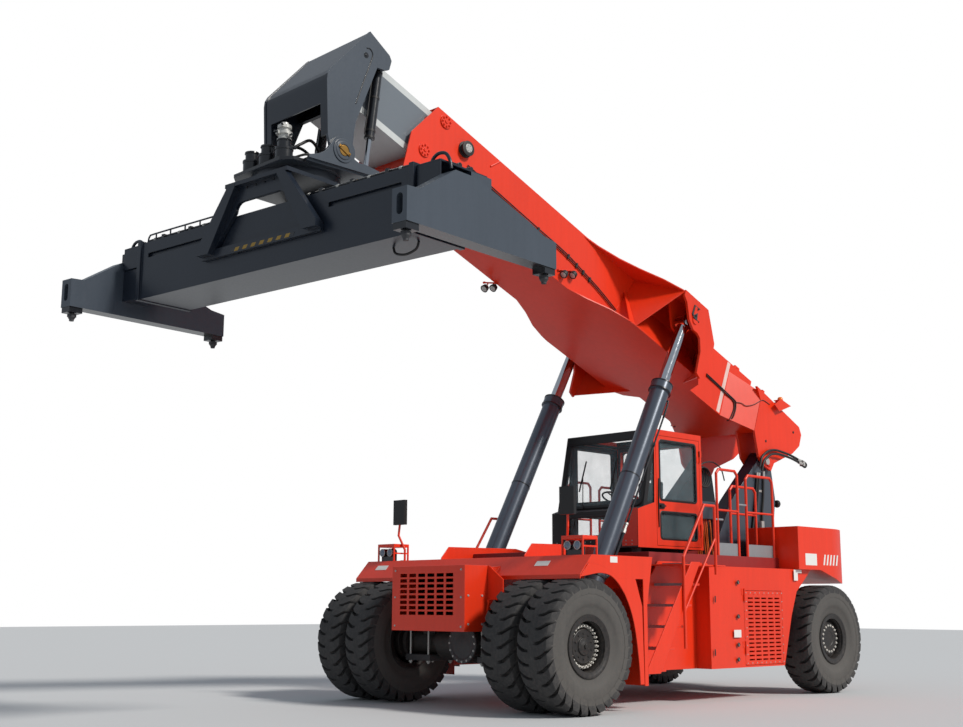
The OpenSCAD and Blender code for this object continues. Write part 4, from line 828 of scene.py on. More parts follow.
bm, bm_silver, bm_hose, bm_bolts = (bmesh.new() for _ in range(4))
for y in (-0.330, 0.0, 0.330):
    foot = on_nose(0.430, y, 0)
    for spot in circle(foot + UP * 0.001, AHEAD, LEFT, 0.118, 8, 0.2):
        bolt(bm, spot, UP, 0.010, 0.012)
    stub(bm, foot, UP, 0.12, 0.150, 0.112, 40)
    stub(bm, foot, UP, 0.238, 0.262, 0.092, 40, 0.086)
    for s in (-0.04, 0.04):
        rod(bm, foot + Vector((0, s, 0.18)), foot + Vector((-0.135, s, 0.18)), 0.022, 16)
lathe(bm_silver, VALVE_STACK, foot, UP, 40)
half_block = Vector((0.026, 0.026, 0.022))
for x, y, z in VALVE_BLOCKS:
    brick(bm_silver, foot + Vector((x, y, z)) - half_block, foot + Vector((x, y, z)) + half_block)
    rod(bm, foot + Vector((x * 1.3, y * 1.3, z)), foot + Vector((x * 1.75, y * 1.75, z)), 0.014, 10)
for spot in circle(foot + UP * 0.362, AHEAD, LEFT, 0.055, 6):
    stub(bm_silver, spot, UP, 0, 0.014, 0.008, 6)
for line in YOKE_HOSES:
    hose(bm_hose, put(on_nose, line), 0.019)
hose(bm_hose, put(on_nose, THIN_HOSE), 0.015, 10)
for spot in circle(on_nose(0, 0, 0.0005), AHEAD, LEFT, 0.515, 36):
    if abs(spot.y) < 0.52 and spot.x < SLEW_X + 0.22:
        bolt(bm_bolts, spot, UP, 0.014, 0.016)
make("motor_details", bm, hydraulic_black, "spreader_yoke", edge=0.002)
make("motor_top", bm_silver, zinc, "spreader_yoke", edge=0.002)
make("yoke_hoses", bm_hose, black_rubber, "spreader_yoke")
make("slew_bolts", bm_bolts, hydraulic_black, "spreader_yoke")


# Spreader carriage and beam
# Folded plate sprayed blue-black. The carriage's two A-shaped channel frames
# straddle the main beam, and pipes and a cable chain run along the beam's top.
SLEW_ANGLE = math.radians(5.5)
SPREADER_AHEAD = Vector((math.cos(SLEW_ANGLE), math.sin(SLEW_ANGLE), 0))
SPREADER_LEFT = Vector((-math.sin(SLEW_ANGLE), math.cos(SLEW_ANGLE), 0))
BEAM_TOP = 5.900
BEAM_LOW = 5.150
FRAME_FRONT = 0.558
FRAME_BACK = -0.358
CARRIAGE_LOW = 5.420
BEAM_PIPES = ((0.43, 0.035, -2.35, -0.62, 0.017), (0.37, 0.035, -2.35, -0.62, 0.017),
              (0.30, 0.030, -2.30, -0.62, 0.013), (0.43, 0.035, 0.62, 2.30, 0.017), (0.37, 0.035, 0.62, 2.30, 0.017),
              (-0.20, 0.035, -2.30, 2.30, 0.015))


def on_spreader(x, y, z):
    """A point given ahead of the slewing axis, to its left and above the ground."""
    return Vector((SLEW_X, 0, z)) + SPREADER_AHEAD * x + SPREADER_LEFT * y


def on_beam(x, y, z):
    """A point given ahead of the slewing axis, to its left and above the beam's top."""
    return on_spreader(x, y, BEAM_TOP + z)


dress("carriage", navy_paint, 0.005)
dress("spreader_beam", navy_paint, 0.006)

bm = bmesh.new()
for x, way in ((FRAME_FRONT, SPREADER_AHEAD), (FRAME_BACK, -SPREADER_AHEAD)):
    for y in (-0.98, -0.88, 0.88, 0.98):
        bolt(bm, on_spreader(x, y, CARRIAGE_LOW + 0.06), way, 0.013, 0.012)
    for y in (-0.40, -0.24, -0.08, 0.08, 0.24, 0.40):
        bolt(bm, on_spreader(x, y, SLEW_TOP - 0.245), way, 0.012, 0.012)
make("carriage_bolts", bm, hydraulic_black, "spreader_carriage")

BAND_PITCH = 0.075
BAND_LEAN = 0.030
hazard_yellow = finish_coat("hazard yellow", (150, 118, 34), dust=0.3, gloss=0.4, bump=0.001)
bm, bm_black = bmesh.new(), bmesh.new()
for k in range(15):
    y = -0.52 + k * BAND_PITCH
    slab(bm if k % 2 else bm_black,
         [on_spreader(FRAME_FRONT + 0.0004, y + across, CARRIAGE_LOW + z)
          for across, z in ((0, 0.018), (BAND_PITCH, 0.018), (BAND_PITCH + BAND_LEAN, 0.062), (BAND_LEAN, 0.062))],
         SPREADER_AHEAD * 0.0016)
make("hazard_band_yellow", bm, hazard_yellow, "spreader_carriage")
make("hazard_band_black", bm_black, hydraulic_black, "spreader_carriage")

bm, bm_fit, bm_chain, bm_rail, bm_loop = (bmesh.new() for _ in range(5))
for x, z, y0, y1, r in BEAM_PIPES:
    hose(bm, put(on_beam, ((x, y0, z - 0.03), (x, y0 + 0.06, z), (x, (y0 + y1) / 2, z + 0.004), (x, y1 - 0.06, z),
                           (x, y1, z - 0.01))), r, 10, 4)
for x in (0.43, 0.37):
    for y in (-2.20, -1.70, -1.20, -0.72, 0.72, 1.20, 1.70, 2.18):
        rod(bm_fit, on_beam(x, y - 0.020, 0.035), on_beam(x, y + 0.020, 0.035), 0.024, 6)
for y in (-2.0, -1.45, -0.95, 0.95, 1.45, 2.0):
    brick(bm, (0.26, y - 0.025, -0.0005), (0.47, y + 0.025, 0.062), on_beam)
for k in range(34):
    y = -0.86 - k * 0.042
    brick(bm_chain, (0.10, y, 0.0003), (0.20, y - 0.034, 0.052), on_beam)
    rod(bm_chain, on_beam(0.095, y - 0.017, 0.026), on_beam(0.205, y - 0.017, 0.026), 0.012, 10)
for k in range(6):
    y = -2.15 + k * 0.30
    rod(bm_rail, on_beam(0.46, y, -0.0005), on_beam(0.46, y, 0.100), 0.010, 10)
hose(bm_rail, put(on_beam, ((0.46, -2.32, 0.005), (0.46, -2.29, 0.085), (0.46, -2.15, 0.100), (0.46, -1.2, 0.100),
                            (0.46, -0.66, 0.100))), 0.011, 10, 4)
hose(bm_loop, [on_spreader(0.20, y, BEAM_LOW - z)
               for y, z in ((1.86, 0.001), (1.90, 0.075), (2.05, 0.110), (2.20, 0.075), (2.24, 0.001))], 0.014, 12)
make("beam_pipes", bm, hydraulic_black, "spreader")
make("beam_fittings", bm_fit, zinc, "spreader")
make("cable_chain", bm_chain, hydraulic_black, "spreader", edge=0.002)
make("beam_rail", bm_rail, navy_paint, "spreader")
make("beam_hose_loop", bm_loop, black_rubber, "spreader")


# End beams and twistlocks
# Sliding beams of folded plate whose slate outer plates carry a dark lower
# flange, with cast corners, black lock housings and blank lock pins.
END_PLATE_Y = 2.76
FLANGE_TOP = 5.045
LOCK_SENSOR_Z = 5.075
END_COVERS = ((-0.285, 0.485, 5.872, 5.894), (0.470, 0.485, 5.60, 5.880), (-0.285, -0.270, 5.60, 5.880))
END_HOSE = ((0.24, 2.47, 0.005), (0.26, 2.56, 0.050), (0.22, 2.68, 0.045), (0.18, 2.78, 0.005))
LIFT_HOOK = ((2.56, -0.015), (2.58, 0.065), (2.66, 0.110), (2.76, 0.090), (2.82, 0.005), (2.84, -0.100))


def end_look(c, n):
    if abs(SPREADER_LEFT.dot(c - on_nose(0, 0, 0))) < END_PLATE_Y:
        return 1
    return 2 if c.z < FLANGE_TOP else 0


for side, name in SIDES:
    face_parts("end_beam_" + name, end_look, slate_paint, navy_paint, hydraulic_black)
    body = "spreader_end_" + name
    bm = bmesh.new()
    for low_x, high_x, low_z, high_z in END_COVERS:
        brick(bm, (low_x, side * 2.458, low_z), (high_x, side * 2.800, high_z), on_spreader)
    hose(bm, [on_beam(0.36, side * y, z) for y, z in LIFT_HOOK], 0.020, 10, 4)
    make("end_covers_" + name, bm, navy_paint, body, edge=0.003)
    bm = bmesh.new()
    for x in (0.12, -0.06):
        rod(bm, on_beam(x, side * 2.49, 0.025), on_beam(x, side * 2.76, 0.025), 0.030, 24)
        rod(bm, on_beam(x, side * 2.52, 0.025), on_beam(x, side * 2.54, 0.025), 0.036, 24)
    hose(bm, [on_beam(x, side * y, z) for x, y, z in END_HOSE], 0.013, 10, 4)
    make("end_cylinders_" + name, bm, hydraulic_black, body, edge=0.002)
for side, name in SIDES:
    for end, place in ((1, "front"), (-1, "rear")):
        lock = "lock_" + name + "_" + place
        dress(lock, graphite_steel, 0.003)
        spot = sum(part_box(lock), Vector()) / 2 + SPREADER_LEFT * side * 0.060
        spot.z = LOCK_SENSOR_Z
        bm = bmesh.new()
        rod(bm, spot - SPREADER_AHEAD * end * 0.10, spot + SPREADER_AHEAD * end * 0.04, 0.026, 20)
        make(lock + "_sensor", bm, hydraulic_black, "spreader_end_" + name, edge=0.002)


# Lift cylinders
# Two long hydraulic cylinders with blue-black painted barrels, their paint lightened to a blue-grey as a painted
# sunlit sheen, a flanged gland and a hard chrome rod, each fed by a pipe clamped along its barrel.
LIFT_SIDE_Y = 1.050
LIFT_LOW = at(-1.200, 0, 1.380)
LIFT_WAY = (on_boom(3.075, 0, 0.790) - LIFT_LOW).normalized()
LIFT_AHEAD = Vector((LIFT_WAY.z, 0, -LIFT_WAY.x))
LIFT_BANDS = ((3.352, 0.166, 0.018), (3.388, 0.152, 0.030), (3.482, 0.164, 0.016), (0.300, 0.150, 0.030),
              (1.900, 0.144, 0.016))
PIPE_OFF = 0.167
# The barrels' blue-black paint is lightened to a blue-grey here as a painted sunlit sheen.
barrel_paint_with_painted_sheen = finish_coat("blue black cylinder paint lightened as painted sheen", (80, 88, 100), dust=0.05, gloss=0.24, metallic=0.5, coat=0.4,
                           bump=0.001)
for side, name in SIDES:
    body = "lift_barrel_" + name
    dress(body, barrel_paint_with_painted_sheen, 0.004)
    dress("lift_rod_" + name, chrome, 0.003)
    foot = LIFT_LOW + LEFT * side * LIFT_SIDE_Y
    pipe_side = (LEFT * side - LIFT_AHEAD).normalized()
    across = LIFT_WAY.cross(pipe_side)

    def on_lift(along, out, wide=0.0):
        return foot + LIFT_WAY * along + pipe_side * out + across * wide

    bm, bm_elbow = bmesh.new(), bmesh.new()
    for along, r, deep in LIFT_BANDS:
        rod(bm, on_lift(along, 0), on_lift(along + deep, 0), r, 64)
    for spot in circle(on_lift(3.499, 0), LIFT_AHEAD, LEFT, 0.132, 12):
        stub(bm, spot, LIFT_WAY, -0.004, 0.014, 0.013, 6)
    hose(bm, put(on_lift, ((0.36, 0.12), (0.40, 0.160), (0.55, 0.165), (1.10, 0.166))), 0.021, 12, 4)
    hose(bm, put(on_lift, ((1.16, 0.168), (2.20, 0.168), (3.18, 0.168), (3.24, 0.12))), 0.013, 10, 4)
    for along in (0.7, 1.27, 1.9, 2.5, 3.0):
        corners = oblong(along - 0.02, along + 0.02, -0.03, 0.03)
        slab(bm, [on_lift(a, 0.156, wide) for a, wide in corners], pipe_side * 0.030)
    for start, end, r in ((1.06, 1.12, 0.029), (1.12, 1.19, 0.021), (1.19, 1.22, 0.027)):
        rod(bm_elbow, on_lift(start, PIPE_OFF), on_lift(end, PIPE_OFF), r, 6)
    make("lift_barrel_elbow_" + name, bm_elbow, zinc, body, edge=0.002)
    make("lift_barrel_trim_" + name, bm, hydraulic_black, body, edge=0.002)


# Cab
# A welded tube and sheet cab, red outside, with a black front and roof edge,
# tinted panes in black rubber seals and doors hung at their rear edges.
CAB_HALF = 0.820
CAB_IN = CAB_HALF - 0.055
CAB_TOP = 3.820
CAB_LOW = 2.100
CAB_FACE = -2.570
CAB_BACK = -4.120
SCREEN_FOOT = at(-2.705, 0, 2.720)
SCREEN_HEAD = at(-2.950, 0, 3.700)
SCREEN_UP = (SCREEN_HEAD - SCREEN_FOOT).normalized()
SCREEN_OUT = Vector((SCREEN_UP.z, 0, -SCREEN_UP.x))
SCREEN_HALF = CAB_HALF - 0.060
DOOR_WINDOW = oblong(-3.100, -3.970, 2.800, 3.660)
DOOR_LOW_WINDOW = oblong(-3.100, -3.970, 2.620, 2.240)
DOOR_STAY = ((-3.060, 3.10, 0.006), (-3.048, 2.9, 0.010), (-3.044, 2.6, 0.010), (-3.050, 2.40, 0.006))
HANDLE = ((-3.070, 2.690), (-3.180, 2.695), (-3.180, 2.715), (-3.070, 2.720))

cab_black = finish_coat("black cab mouldings", (20, 20, 22), dust=0.2, gloss=0.45, bump=0.002)
cab_lining = finish_coat("grey cab lining", (58, 60, 64), dust=0.15, gloss=0.6, bump=0.003)
glass = bpy.data.materials.new("tinted cab glass")
glass.use_nodes = True
tree = glass.node_tree
place = add_node(tree, "TexCoord", {}).outputs["Object"]
feed(tree, tree.nodes["Principled BSDF"], {
    "Base Color": mix_colours(tree, cloud(tree, place, 1.5, 2), (0.26, 0.38, 0.42, 1), (0.34, 0.46, 0.50, 1)),
    "Alpha": ramp(tree, cloud(tree, place, 4.0), 0.3, 0.7, 0.08, 0.13), "Roughness": 0.02, "IOR": 1.45})


def cab_look(c, n):
    x = c.x - FRONT_AXLE
    if abs(c.y) < CAB_IN and -4.08 < x < -2.60 and c.z < CAB_TOP - 0.050:
        return 2
    windscreen_edge = n.x > 0.55 and c.z > 2.62
    low_front = x > -2.60 and c.z < 2.70 and abs(c.y) < CAB_HALF - 0.001
    roof_edge = c.z > CAB_TOP - 0.13 and x > -3.02
    corner = x > -3.00 and c.z > 2.70
    return 1 if windscreen_edge or low_front or roof_edge or corner else 0


def door_look(c, n):
    return 1 if abs(n.y) < 0.5 and abs(c.y) < CAB_HALF - 0.002 else (2 if abs(c.y) < CAB_IN else 0)


def seal(bm, corners, out, width, height):
    """Rubber strip that follows the edge of a window, given by its corners in turn."""
    centre = sum(corners, Vector()) / len(corners)
    profile = ((-0.5, -0.002), (-0.5, height * 0.6), (-0.15, height), (0.7, height), (1, height * 0.4), (1, -0.002))
    rings = []
    for before, here, after in zip([corners[-1]] + corners, corners, corners[1:] + corners[:1]):
        n1, n2 = out.cross(here - before).normalized(), out.cross(after - here).normalized()
        m = (n1 + n2).normalized()
        m = m * (width / max(0.35, m.dot(n1)))
        if (here + m - centre).length < (here - m - centre).length:
            m = -m
        rings.append([here + m * across + out * rise for across, rise in profile])
    skin(bm, rings, closed=True)


def rounded(corners, r, steps=5):
    """The same outline with round corners."""
    corners = [Vector(c) for c in corners]
    path = []
    for before, here, after in zip([corners[-1]] + corners, corners, corners[1:] + corners[:1]):
        a, b = here + (before - here).normalized() * r, here + (after - here).normalized() * r
        for t in (k / steps for k in range(steps + 1)):
            path.append(a * (1 - t) ** 2 + here * 2 * t * (1 - t) + b * t * t)
    return path


def on_side(outline, y):
    """An outline of x and z, put at one distance to the machine's left."""
    return [at(x, y, z) for x, z in outline]


face_parts("cab_shell", cab_look, red_paint, cab_black, cab_lining)
dress("cab_glass", glass, 0)
for side, name in SIDES:
    body = "cab_door_" + name
    face_parts(body, door_look, red_paint, cab_black, cab_lining)
    out = LEFT * side
    door_y = side * CAB_HALF
    bm, bm_panes = bmesh.new(), bmesh.new()
    for outline, wide in ((DOOR_WINDOW, 0.022), (DOOR_LOW_WINDOW, 0.020)):
        edge = rounded(on_side(outline, door_y), 0.05)
        seal(bm, edge, out, wide, 0.006)
        slab(bm_panes, [p - out * 0.034 for p in edge], out * 0.006)
    hose(bm, [at(x, door_y, z) + out * off for x, z, off in DOOR_STAY], 0.009, 8)
    slab(bm, rounded(on_side(oblong(-3.045, -3.185, 2.665, 2.745), door_y - side * 0.001), 0.03), out * 0.014)
    rod(bm, at(-3.080, door_y + side * 0.012, 2.705), at(-3.080, door_y + side * 0.034, 2.705), 0.018, 16)
    slab(bm, rounded(on_side(HANDLE, door_y + side * 0.030), 0.01), out * 0.012)
    make("cab_door_trim_" + name, bm, cab_black, body)
    make("cab_door_glass_" + name, bm_panes, glass, body)


bm, bm_sheet, bm_bolts, bm_eyes = (bmesh.new() for _ in range(4))
screen_side = LEFT * SCREEN_HALF
screen = [SCREEN_FOOT - screen_side, SCREEN_FOOT + screen_side, SCREEN_HEAD + screen_side, SCREEN_HEAD - screen_side]
seal(bm, rounded(screen, 0.08), SCREEN_OUT, 0.034, 0.014)
for x, half, low, high, r, out, width in ((CAB_FACE, 0.5, 2.280, 2.560, 0.05, AHEAD, 0.024),
                                          (CAB_BACK, 0.70, 2.750, 3.680, 0.08, -AHEAD, 0.030)):
    seal(bm, rounded([at(x, y, z) for y, z in oblong(-half, half, low, high)], r), out, width, 0.010)
for y in (0.30, -0.30):
    foot = SCREEN_FOOT + LEFT * y + SCREEN_OUT * 0.016 - SCREEN_UP * 0.02
    tip = foot + SCREEN_UP * 0.50 - LEFT * 0.10 + SCREEN_OUT * 0.004
    stub(bm, foot, SCREEN_OUT, -0.012, 0.018, 0.018, 16)
    rod(bm, foot + SCREEN_OUT * 0.008, tip, 0.007, 8)
    blade = (SCREEN_UP + LEFT * 0.10).normalized()
    slab(bm, [tip + blade * along - SCREEN_OUT * 0.008 + LEFT * wide
              for along, wide in oblong(-0.24, 0.24, -0.006, 0.006)], SCREEN_OUT * 0.020)
brick(bm, (CAB_FACE, -0.79, 2.115), (CAB_FACE + 0.0005, 0.79, 2.255), at)
brick(bm_sheet, (CAB_FACE, 0.530, 2.120), (CAB_FACE + 0.0015, CAB_HALF - 0.008, 2.655), at)
for i in range(14):
    for z in (2.145, 2.195):
        spot = at(CAB_FACE, -0.72 + i * 0.11, z)
        stub(bm_bolts, spot, AHEAD, -0.001, 0.005, 0.011, 10, 0.009)
for y in (-0.70, 0.70):
    for x in (-3.10, -3.95):
        lathe(bm_eyes, [(-0.002, 0.034), (0.006, 0.034), (0.012, 0.026), (0.0, 0.020), (-0.002, 0.0001)],
              at(x, y, CAB_TOP - 0.014), UP, 24)
make("cab_seals", bm, cab_black, "chassis")
make("cab_front_sheet", bm_sheet, red_paint, "chassis")
make("cab_front_bolts", bm_bolts, zinc, "chassis")
make("roof_eyes", bm_eyes, red_paint, "chassis")


# Seat and controls
# A grey fabric seat with crowned cushions on a sprung base, armrests with
# levers, a thin steering wheel and a plastic console.
FLOOR_Z = CAB_LOW + 0.060
SEAT_X = -3.690
WHEEL_R = 0.190
seat_cloth = bpy.data.materials.new("seat fabric")
seat_cloth.use_nodes = True
tree = seat_cloth.node_tree
place = add_node(tree, "TexCoord", {}).outputs["Object"]
weave = add_node(tree, "TexWave", {"Vector": place, "Scale": 120.0, "Distortion": 1.5}).outputs["Fac"]
fibres = reckon(tree, "MULTIPLY", cloud(tree, place, 14.0), weave)
threads = add_node(tree, "Bump", {"Strength": 0.4, "Distance": 0.001, "Height": weave})
feed(tree, tree.nodes["Principled BSDF"], {
    "Base Color": mix_colours(tree, fibres, srgb((46, 48, 54)), srgb((84, 86, 92))),
    "Roughness": ramp(tree, weave, 0, 1, 0.75, 0.95), "Normal": threads.outputs[0]})


def by_seat(x, y, z):
    """A point given ahead of the seat's middle, to its left and above the cab's floor."""
    return at(SEAT_X + x, y, FLOOR_Z + z)


def cushion(name, low, high, crown, puffed):
    """Crowned closed cushion between two corners, its sides drawn in between its corners."""
    low, high = by_seat(*low), by_seat(*high)
    centre, half_size = (low + high) / 2, (high - low) / 2
    across, along = [k for k in range(3) if k != puffed]
    bm = bmesh.new()
    bmesh.ops.create_cube(bm, size=2)
    bmesh.ops.subdivide_edges(bm, edges=bm.edges, cuts=9, use_grid_fill=True)
    for vert in bm.verts:
        p = vert.co.copy()
        dome = math.cos(p[across] * math.pi / 2 * 0.92) * math.cos(p[along] * math.pi / 2 * 0.92)
        on_edge = abs(p[across]) > 0.99 or abs(p[along]) > 0.99
        pinch = 1 - 0.05 * (1 - p[across] ** 2) - 0.05 * (1 - p[along] ** 2) if on_edge else 1.0
        channel = 1 - 0.10 * math.exp(-((abs(p[along]) - 0.42) / 0.05) ** 2)
        q = p * pinch * (1 - 0.06 * p[puffed] ** 2)
        q[puffed] = p[puffed] * (1 - crown + crown * dome) * channel if p[puffed] > 0 else p[puffed]
        vert.co = centre + q * half_size
    piece = make(name, bm, seat_cloth, "chassis", sharp=80)
    smooth = piece.modifiers.new("soft", "SUBSURF")
    smooth.levels = smooth.render_levels = 1


bm = bmesh.new()
brick(bm, (-0.20, -0.21, 0.001), (0.18, 0.21, 0.06), by_seat)
for k in range(5):
    fold, z = 0.01 * (k % 2), 0.065 + k * 0.045
    brick(bm, (fold - 0.17, -0.19, z), (0.16 - fold, 0.19, z + 0.038), by_seat)
brick(bm, (-0.21, -0.23, 0.292), (0.24, 0.23, 0.318), by_seat)
for y in (-0.320, 0.320):
    brick(bm, (-0.15, y - 0.055, 0.515), (0.33, y + 0.055, 0.555), by_seat)
    brick(bm, (0.14, y - 0.050, 0.305), (0.30, y + 0.050, 0.515), by_seat)
    rod(bm, by_seat(0.27, y, 0.553), by_seat(0.27, y, 0.559), 0.036, 20)
rod(bm, at(-2.830, 0, FLOOR_Z + 0.02), at(-3.055, 0, FLOOR_Z + 0.690), 0.044, 24, 0.030)
brick(bm, (-2.900, -0.12, FLOOR_Z + 0.001), (-2.700, 0.12, FLOOR_Z + 0.03), at)
wheel_way = Matrix.Rotation(math.radians(-25), 3, "Y") @ UP
wheel_hub = at(-3.060, 0, FLOOR_Z + 0.700)
u, v = side_frame(wheel_way)
wheel_rim = circle(wheel_hub, u, v, WHEEL_R, 48)
hose(bm, wheel_rim + wheel_rim[:1], 0.014, 10, 1)
for t in (0.5, 2.6, 4.7):
    rod(bm, wheel_hub, wheel_hub + (u * math.cos(t) + v * math.sin(t)) * (WHEEL_R - 0.004), 0.012, 8, 0.010)
lathe(bm, [(-0.02, 0.046), (0.010, 0.050), (0.018, 0.040), (0.020, 0.0001)], wheel_hub, wheel_way, 28)
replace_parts(make("cab_fittings", bm, cab_black, "chassis", edge=0.004), "cab_interior")
cushion("seat_cushion", (-0.215, -0.245, 0.320), (0.262, 0.245, 0.428), 0.35, 2)
cushion("seat_back", (-0.280, -0.225, 0.450), (-0.175, 0.225, 1.000), 0.35, 0)
cushion("seat_headrest", (-0.270, -0.140, 1.020), (-0.195, 0.140, 1.145), 0.30, 0)


# Tower, counterweight and doors
# Plates stand up from the frame to the boom's pivot, a cast block closes the
# tail, and louvred doors of sheet steel hang on the side housings.
DARK_RED = (138, 24, 24)
COUNTER_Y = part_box("counterweight")[1].y
HOUSING_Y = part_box("side_housings")[1].y
LATCHES = ((-3.630, 1.614), (-3.615, 1.143), (-3.600, 0.755), (-3.590, 0.554))
LATCH_RING = ((-0.001, 0.030), (0.006, 0.030), (0.009, 0.024), (0.005, 0.018), (0.005, 0.0001))
SCREW_INSET = 0.03
dark_red_paint = finish_coat("deck paint", DARK_RED, dust=0.35, gloss=0.5, bump=0.006)
white_paint = finish_coat("white plates", (226, 224, 220), dust=0.15, gloss=0.35, fade=0.03, bump=0.001)
face_parts("tower", lambda c, n: 1 if abs(n.y) > 0.9 and abs(c.y) > 0.60 else 0, navy_paint, slate_paint)
face_parts("deck", lambda c, n: 1 if c.z > 2.52 and abs(c.y) < 0.45 else 0, dark_red_paint, slate_paint)
dress("counterweight", red_paint, 0.012)

# White plates on the near and far sides: a sheet, five leaning stripes, an
# L-shaped mark and blank squares, then one on each front slope.
marks = [(COUNTER_Y, oblong(-5.335, -5.655, 1.895, 2.070)),
         (HOUSING_Y, ((-5.085, 1.662), (-5.190, 1.662), (-5.190, 1.775), (-5.300, 1.775), (-5.300, 1.822),
                      (-5.085, 1.822))),
         (HOUSING_Y, oblong(-3.500, -3.672, 0.855, 0.958)),
         (SKIRT_Y, oblong(-0.410, -0.548, 1.802, 1.876))]
for x in (-5.835 - k * 0.090 for k in range(5)):
    marks.append((COUNTER_Y, ((x, 1.905), (x - 0.042, 1.905), (x - 0.082, 2.065), (x - 0.044, 2.065))))
bm = bmesh.new()
for y, outline in marks:
    for side in (-1, 1):
        slab(bm, on_side(outline, side * (y - 0.0005)), LEFT * side * 0.0018)
for low_y, high_y in ((1.255, 1.485), (-1.810, -1.580)):
    slope = ((-0.050, low_y, 1.858), (-0.050, high_y, 1.858), (0.045, high_y, 1.762), (0.045, low_y, 1.762))
    slab(bm, put(at, slope), (0.0035, 0, 0.0035))
make("white_marks", bm, white_paint, "chassis")

bm, bm_bright = bmesh.new(), bmesh.new()
for side in (-1, 1):
    out = LEFT * side
    for x, z in LATCHES:
        lathe(bm, LATCH_RING, at(x, side * HOUSING_Y, z), out, 24)
        brick(bm_bright, (x - 0.004, side * (HOUSING_Y + 0.004), z - 0.014),
              (x + 0.004, side * (HOUSING_Y + 0.009), z + 0.014), at)
    for x, z in ((-3.073, 1.377), (-3.040, 0.660)):
        outline = on_side(oblong(x + 0.012, x - 0.012, z - 0.045, z + 0.045), side * (HOUSING_Y - 0.001))
        slab(bm, rounded(outline, 0.010), out * 0.003)
make("housing_latches", bm, cab_black, "chassis")
make("latch_keys", bm_bright, zinc, "chassis")

for side, name in SIDES:
    body = "service_door_" + name
    dress(body, red_paint, 0.003)
    low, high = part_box(body)
    y = max(abs(low.y), abs(high.y))
    left_x, right_x = low.x + SCREW_INSET, high.x - SCREW_INSET
    low_z, high_z = low.z + 0.028, high.z - 0.028
    screws = [(left_x + i * (right_x - left_x) / 8, z) for i in range(9) for z in (low_z, high_z)]
    screws += [(x, low_z + i * (high_z - low_z) / 8) for i in range(1, 8) for x in (left_x, right_x)]
    bm = bmesh.new()
    for x, z in screws:
        rod(bm, (x, side * (y - 0.003), z), (x, side * (y + 0.003), z), 0.008, 10)
    make(body.replace("door", "door_screws"), bm, zinc, body)


# Tower's hoses
# Hydraulic hoses climb the outer faces of the tower to the boom's root, with
# plated fittings, a round tail lamp and thin orange and black leads by the cab.
TOWER_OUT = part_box("tower")[1].y
TOWER_HOSES = (((-5.800, 3.330), (-5.740, 3.000), (-5.660, 2.640), (-5.590, 2.330), (-5.560, 2.130)),
               ((-5.745, 3.330), (-5.690, 3.000), (-5.610, 2.640), (-5.540, 2.330), (-5.510, 2.130)),
               ((-5.930, 3.360), (-5.900, 3.000), (-5.860, 2.790), (-5.842, 2.600)))
TOWER_BLOCKS = ((-5.830, 2.560, 0.038, 0.060), (-5.800, 2.450, 0.026, 0.050), (-5.842, 2.370, 0.020, 0.040))
LONG_LEAD = ((-4.115, 0.76, 3.33), (-4.245, 0.76, 3.42), (-4.441, 0.77, 3.455), (-4.602, 0.76, 3.430),
             (-4.760, 0.735, 3.36), (-4.86, 0.715, 3.20))
LAMP_BODY = ((-0.035, 0.030), (-0.020, 0.055), (0.020, 0.062), (0.030, 0.062), (0.030, 0.054), (0.024, 0.0001))
orange_lead = finish_coat("orange leads", (214, 104, 30), dust=0.2, gloss=0.5, bump=0.001)
bm, bm_ends, bm_leads, bm_box, bm_lamp, bm_lens = (bmesh.new() for _ in range(6))
for side in (-1, 1):
    hose_y = side * (TOWER_OUT + 0.026)
    for line in TOWER_HOSES:
        hose(bm, on_side(line, hose_y), 0.019, 12, 4)
        x, z = line[0]
        rod(bm_ends, at(x, hose_y, z - 0.02), at(x - 0.01, hose_y, z + 0.06), 0.024, 6)
    inner = side * (TOWER_OUT - 0.002)
    for x, z, wide, tall in TOWER_BLOCKS:
        brick(bm_ends, (x - wide, inner, z - tall), (x + wide, side * (TOWER_OUT + 0.055), z + tall), at)
    brick(bm_ends, (-5.960, inner, 3.085), (-5.660, side * (TOWER_OUT + 0.012), 3.120), at)
    lamp = at(-6.380, side * 0.66, 2.930)
    stub(bm_lamp, lamp, AHEAD, 0.110, 0.030, 0.014, 12)
    lathe(bm_lamp, LAMP_BODY, lamp, -AHEAD, 28)
    lathe(bm_lens, [(0.0245, 0.053), (0.031, 0.040), (0.034, 0.0001)], lamp, -AHEAD, 28)
for k in range(4):
    loop = circle(at(-4.245, 0.705 + 0.024 * k, 3.235 - 0.01 * k), AHEAD * (0.100 + 0.022 * k), UP * 0.150, 1, 16)
    hose(bm, loop + loop[:1], 0.012, 10, 2)
hose(bm, put(at, LONG_LEAD), 0.010, 8, 4)
for k in range(9):
    x, y = -4.165 - 0.026 * k, 0.640 + 0.015 * k
    lead = ((x, y, 2.590), (x - 0.010, y + 0.01, 2.430), (x - 0.040 - 0.012 * (k % 2), y, 2.230), (x - 0.075, y, 2.012))
    hose(bm if k % 4 == 3 else bm_leads, put(at, lead), 0.0095, 8, 3)
brick(bm_box, (-4.560, 0.385, 2.575), (-4.145, 0.790, 2.830), at)
brick(bm_box, (-4.540, 0.395, 2.828), (-4.165, 0.770, 2.845), at)
make("valve_box", bm_box, slate_paint, "chassis", edge=0.012)
make("tower_hoses", bm, black_rubber, "chassis")
make("tower_fittings", bm_ends, zinc, "chassis", edge=0.002)
make("cab_leads", bm_leads, orange_lead, "chassis")
make("tail_lamps", bm_lamp, cab_black, "chassis")
make("tail_lamp_lenses", bm_lens, zinc, "chassis")


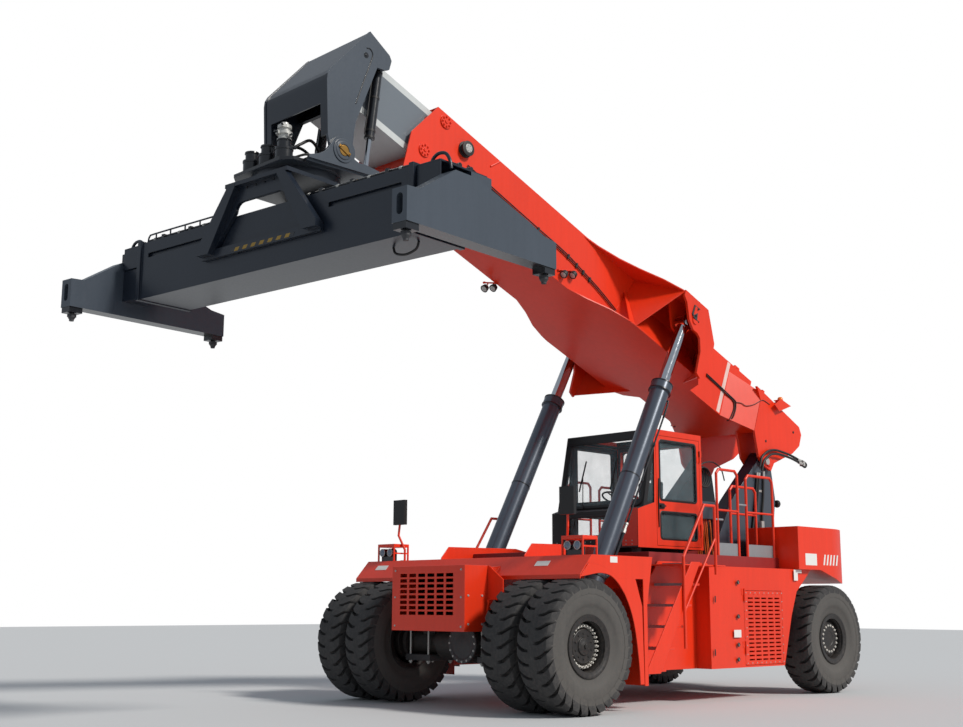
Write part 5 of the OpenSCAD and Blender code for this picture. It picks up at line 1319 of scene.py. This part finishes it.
# Rails, lamps and mirrors
# Bent red tube with galvanised toe boards, round work lamps in red cages and
# black mirror heads on curved red stalks.
MIRROR_HEAD_LOW = 2.395
TOE_BOARD_TOP = 2.185
LAMP_RIM = ((-0.004, 0.055), (0.006, 0.055), (0.008, 0.050), (0.003, 0.045), (-0.004, 0.045))
galvanised = finish_coat("galvanised steel", (142, 148, 152), dust=0.3, gloss=0.45, metallic=0.3, bump=0.002)
lamp_glass = finish_coat("lamp lenses", (112, 126, 142), dust=0.1, gloss=0.12, fade=0.02, metallic=0.4, bump=0.001)


def rail_look(c, n):
    return 1 if c.z < TOE_BOARD_TOP and 1.405 < abs(c.y) < 1.4145 else 0


face_parts("rails", rail_look, red_paint, galvanised)
face_parts("mirrors", lambda c, n: 0 if c.z > MIRROR_HEAD_LOW else 1, cab_black, red_paint)
dress("lamps", hydraulic_black, 0.004)
bm, bm_ring = bmesh.new(), bmesh.new()
for y in (-1.835, -1.675, 1.675, 1.835):
    face = at(-0.105, y, 2.010)
    lathe(bm, [(-0.012, 0.046), (0.002, 0.046), (0.008, 0.034), (0.010, 0.0001)], face, AHEAD, 32)
    lathe(bm_ring, LAMP_RIM, face, AHEAD, 40, closed=True)
make("front_lamp_lenses", bm, lamp_glass, "chassis")
make("front_lamp_rims", bm_ring, zinc, "chassis")


# Stairs' trim
# Each tread has a folded bright nosing and rows of punched grip holes, drawn as black discs that are
# painted shade for the dark inside the holes, and the hoops of the deck are tied by short plated links.
STAIR_IN = 1.482
STAIR_OUT = 1.982
STEP_BACK = 0.190
STEP_UP = 0.272
bm, bm_hole_shade = bmesh.new(), bmesh.new()
for side in (-1, 1):
    inner, outer = side * STAIR_IN, side * STAIR_OUT
    for i in range(6):
        front, top = -1.300 - STEP_BACK * i, 0.490 + STEP_UP * i
        brick(bm, (front + 0.001, inner, top - (0.032 if i else 0.075)), (front + 0.004, outer, top + 0.002), at)
        brick(bm, (front - 0.030, inner, top - 0.001), (front + 0.003, outer, top + 0.002), at)
        for j in range(8):
            for x in (front - 0.080, front - 0.150):
                y = side * (1.525 + 0.058 * j)
                # Black disc in place of a grip hole: painted shade for the hole's dark inside.
                rod(bm_hole_shade, at(x, y, top - 0.001), at(x, y, top + 0.003), 0.014, 10, 0.011)
    for x, z in ((-4.268, 2.752), (-3.660, 2.512)):
        hose(bm, [at(x + 0.11, side * 1.420, z), at(x - 0.11, side * 1.420, z)], 0.016, 8, 1)
make("stair_nosings", bm, galvanised, "chassis")
make("stair_grip_hole_shade", bm_hole_shade, black_steel, "chassis")
